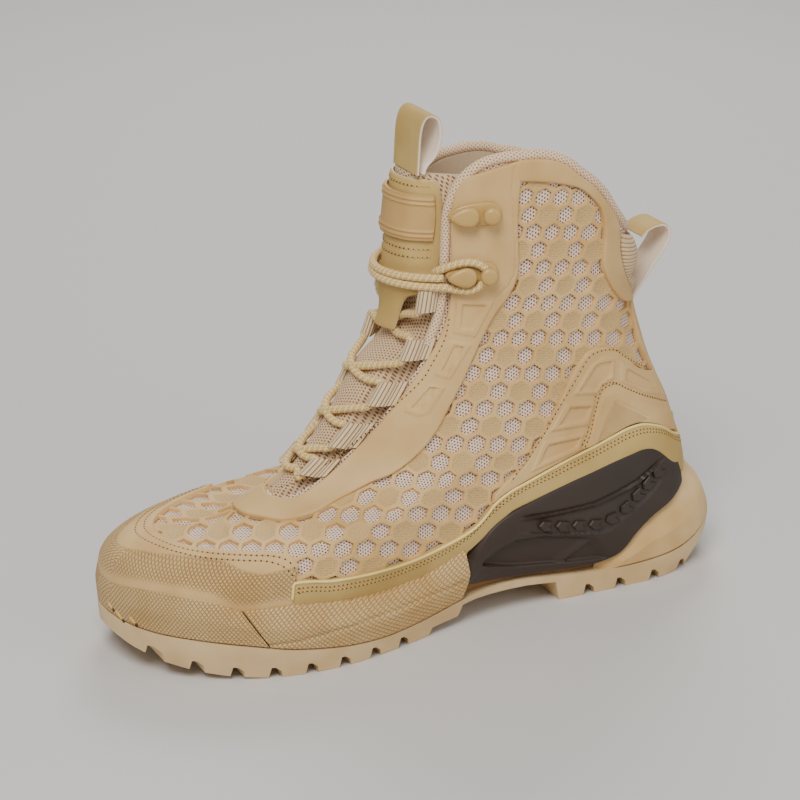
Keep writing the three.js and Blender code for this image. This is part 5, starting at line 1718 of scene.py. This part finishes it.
def ribbed(name, colour, shade, pitch, across=False):
    look = Look(name)
    a, b, _ = look.parts(look.place("UV"))
    run = a if across else b
    rib = (run * (math.pi / pitch)).sin().abs()
    weave = ((b if across else a) * (2 * math.pi / .7)).sin() * .5 + .5
    # painted shade: the grooves between ribs take the shade colour; the fine noise below adds random tone
    base = look.mix(1 - rib.between(.1, .6), colour, shade)
    fine = look.noise(look.place(), .4, 3.0)
    base = look.mix(fine.between(.5, .8) * .2, base, shade)
    normal = look.bump(rib * .85 + weave * .12 + fine * .1, .4)
    return look.finish(base, .85, normal, sheen=.1)


def braid():
    """Round braided cord: slanting strands that cross, with a pale and a golden yarn, and painted shade in
    the gaps between strands
    """
    look = Look("lace_braid")
    a, k, _ = look.parts(look.place("UV"))
    turns = 2 * math.pi
    one = (a * (turns / BRAID_PITCH) + k * (2 * turns)).sin()
    two = (a * (turns / BRAID_PITCH) - k * (2 * turns)).sin()
    over = one.abs().max(two.abs())
    stripe = one.between(-.1, .5)
    base = look.mix(stripe, tone(226, 207, 170), tone(206, 182, 140))
    # painted shade: the gaps between raised strands are painted darker
    base = look.mix(1 - over.between(.2, .75), base, tone(150, 120, 84))
    fine = look.noise(look.place(), .3, 2.0)
    normal = look.bump(over * .8 + fine * .2, .22)
    return look.finish(base, .7, normal, sheen=.1)


def tile():
    """Sunk tile with rings of tiny hexagons, the raised rings painted lighter as a highlight"""
    look = Look("tile_leather")
    at = look.place("UV")
    x, y, _ = look.parts(at)
    waves = honeycomb(x, y, 2.1)
    ring = waves.between(-1.2, -.2) * (1 - waves.between(.8, 1.9))
    fine = look.noise(look.place(), .5, 3.0)
    # painted highlight: the raised rings are painted lighter
    base = look.mix(ring * .55, tone(196, 170, 134), tone(212, 188, 154))
    base = look.mix(fine.between(.5, .8) * .15, base, tone(170, 140, 104))
    return look.finish(base, .66, look.bump(ring * .8 + fine * .2, .3))


def lining():
    look = Look("lining_cloth")
    at = look.place()
    fine = look.noise(at, .7, 4.0)
    base = look.mix(fine.between(.3, .7) * .4, tone(196, 178, 156), tone(168, 148, 124))
    return look.finish(base, .92, look.bump(fine, .25), sheen=.2)


def felt():
    look = Look("insole_felt")
    fine = look.noise(look.place(), .6, 4.0)
    base = look.mix(fine.between(.3, .7) * .4, tone(160, 138, 112), tone(136, 114, 92))
    return look.finish(base, .95, look.bump(fine, .2), sheen=.2)


def dress_frame(looks):
    """The frame's own nodes that stay in sight"""
    for node, look in (("midsole", "midsole"), ("insole", "felt")):
        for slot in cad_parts[node].material_slots:
            slot.link = "OBJECT"
            slot.material = looks[look]


# Stage
def soft_light(name, place, size, power, colour=(1, 1, 1)):
    lamp = bpy.data.lights.new(name, "AREA")
    lamp.shape, lamp.size, lamp.energy, lamp.color = "DISK", size, power, colour
    holder = bpy.data.objects.new(name, lamp)
    holder.location = place
    aim = Vector((0, 0, .09)) - holder.location
    holder.rotation_euler = aim.to_track_quat("-Z", "Y").to_euler()
    bpy.context.scene.collection.objects.link(holder)


def build_stage(settings):
    scene = bpy.context.scene
    lens = bpy.data.cameras.new("camera")
    lens.lens, lens.sensor_width = 36 * FOCAL / PHOTO, 36
    lens.clip_start, lens.clip_end = .05, 20
    camera = bpy.data.objects.new("camera", lens)
    camera.location = framed(view_place)
    camera.rotation_euler = (-view_back).to_track_quat("-Z", "Y").to_euler()
    scene.collection.objects.link(camera)
    scene.camera = camera
    bm = bmesh.new()
    bmesh.ops.create_grid(bm, x_segments=2, y_segments=2, size=3.0)
    mesh = bpy.data.meshes.new("floor")
    bm.to_mesh(mesh)
    bm.free()
    floor = bpy.data.objects.new("floor", mesh)
    floor.location.z = -.0002
    look = Look("floor")
    mesh.materials.append(look.finish(tuple(settings.floor_tone) + (1.0,), .85))
    scene.collection.objects.link(floor)
    soft_light("key", (.9, -.75, 1.5), .9, settings.key_power, (1, .985, .96))
    soft_light("fill", (1.6, .9, .8), 1.4, settings.key_power * .34, (.95, .97, 1))
    soft_light("rim", (-1.1, .6, 1.2), .8, settings.key_power * .45)
    world = bpy.data.worlds.new("studio")
    world.use_nodes = True
    back = world.node_tree.nodes["Background"]
    back.inputs[0].default_value = (.93, .95, 1, 1)
    back.inputs[1].default_value = settings.sky_strength
    scene.world = world


# Settings, operators and panel
class BootSettings(bpy.types.PropertyGroup):
    """What a user of the boot may change"""
    floor_tone: bpy.props.FloatVectorProperty(name="Floor", description="Colour of the floor", size=3,
                                              subtype="COLOR", default=(.62, .60, .57), min=0, max=1)
    key_power: bpy.props.FloatProperty(name="Key light", description="Power of the main light",
                                       default=29.0, min=0, unit="POWER")
    sky_strength: bpy.props.FloatProperty(name="Sky", description="Brightness of the surroundings",
                                          default=.36, min=0)


LOOKS = {}


class PieceOperator:
    """What the boot's operators share: each makes its pieces from the shared materials"""
    bl_options = {"REGISTER", "UNDO"}

    def execute(self, context):
        if not LOOKS:
            LOOKS.update(make_looks())
        self.build(context)
        return {"FINISHED"}


class BOOT_OT_stage(PieceOperator, bpy.types.Operator):
    """Floor, light and the camera at the photograph's angle"""
    bl_idname = "boot.stage"
    bl_label = "Stage"

    def build(self, context):
        build_stage(context.scene.boot)


class BOOT_OT_frame(PieceOperator, bpy.types.Operator):
    """Materials for the frame's midsole and insole"""
    bl_idname = "boot.frame"
    bl_label = "Midsole and insole"

    def build(self, context):
        dress_frame(LOOKS)


class BOOT_OT_upper(PieceOperator, bpy.types.Operator):
    """Hollow mesh upper with its lining"""
    bl_idname = "boot.upper"
    bl_label = "Upper"

    def build(self, context):
        build_upper(LOOKS)


class BOOT_OT_hexagons(PieceOperator, bpy.types.Operator):
    """Moulded sheets of hexagons on both sides"""
    bl_idname = "boot.hexagons"
    bl_label = "Hexagons"

    def build(self, context):
        build_hexagons(LOOKS)


class BOOT_OT_overlays(PieceOperator, bpy.types.Operator):
    """Toe cap, mudguard, counters, back stay, eyestay and collar overlays"""
    bl_idname = "boot.overlays"
    bl_label = "Overlays"

    def build(self, context):
        build_overlays(LOOKS)


class BOOT_OT_tongue(PieceOperator, bpy.types.Operator):
    """Padded tongue, its strap and badge, and the pull tabs"""
    bl_idname = "boot.tongue"
    bl_label = "Tongue"

    def build(self, context):
        build_tongue(LOOKS)
        build_tongue_trim(LOOKS)


class BOOT_OT_collar(PieceOperator, bpy.types.Operator):
    """Bellows at the back of the collar and the rolled binding"""
    bl_idname = "boot.collar"
    bl_label = "Collar"

    def build(self, context):
        build_collar(LOOKS)


class BOOT_OT_sole(PieceOperator, bpy.types.Operator):
    """Tread, toe bumper, side foxing, shank clips and heel cup"""
    bl_idname = "boot.sole"
    bl_label = "Sole"

    def build(self, context):
        build_tread(LOOKS)
        build_sole_sides(LOOKS)
        build_chevrons(LOOKS)


class BOOT_OT_fastening(PieceOperator, bpy.types.Operator):
    """Webbing loops, hooks and the lace"""
    bl_idname = "boot.fastening"
    bl_label = "Fastening"

    def build(self, context):
        build_loops(LOOKS)
        build_hooks(LOOKS)
        build_laces(LOOKS)


class BOOT_OT_trim(PieceOperator, bpy.types.Operator):
    """Stitches, painted shade of needle holes, and piping"""
    bl_idname = "boot.trim"
    bl_label = "Stitching and piping"

    def build(self, context):
        build_stitching(LOOKS)
        build_piping(LOOKS)


OPERATORS = (BOOT_OT_stage, BOOT_OT_frame, BOOT_OT_upper, BOOT_OT_hexagons, BOOT_OT_overlays, BOOT_OT_tongue,
             BOOT_OT_collar, BOOT_OT_sole, BOOT_OT_fastening, BOOT_OT_trim)


class BOOT_PT_panel(bpy.types.Panel):
    """Lists the boot's pieces in the sidebar"""
    bl_idname = "BOOT_PT_panel"
    bl_label = "Hiking boot"
    bl_space_type = "VIEW_3D"
    bl_region_type = "UI"
    bl_category = "Boot"

    def draw(self, context):
        settings = context.scene.boot
        for name in ("floor_tone", "key_power", "sky_strength"):
            self.layout.prop(settings, name)
        for operator in OPERATORS:
            self.layout.operator(operator.bl_idname)


CLASSES = (BootSettings, *OPERATORS, BOOT_PT_panel)


def register():
    for item in CLASSES:
        bpy.utils.register_class(item)
    bpy.types.Scene.boot = bpy.props.PointerProperty(type=BootSettings)


def unregister():
    del bpy.types.Scene.boot
    for item in reversed(CLASSES):
        bpy.utils.unregister_class(item)


def main():
    register()
    for operator in OPERATORS:
        _, name = operator.bl_idname.split(".")
        getattr(bpy.ops.boot, name)()


if __name__ == "__main__":
    main()
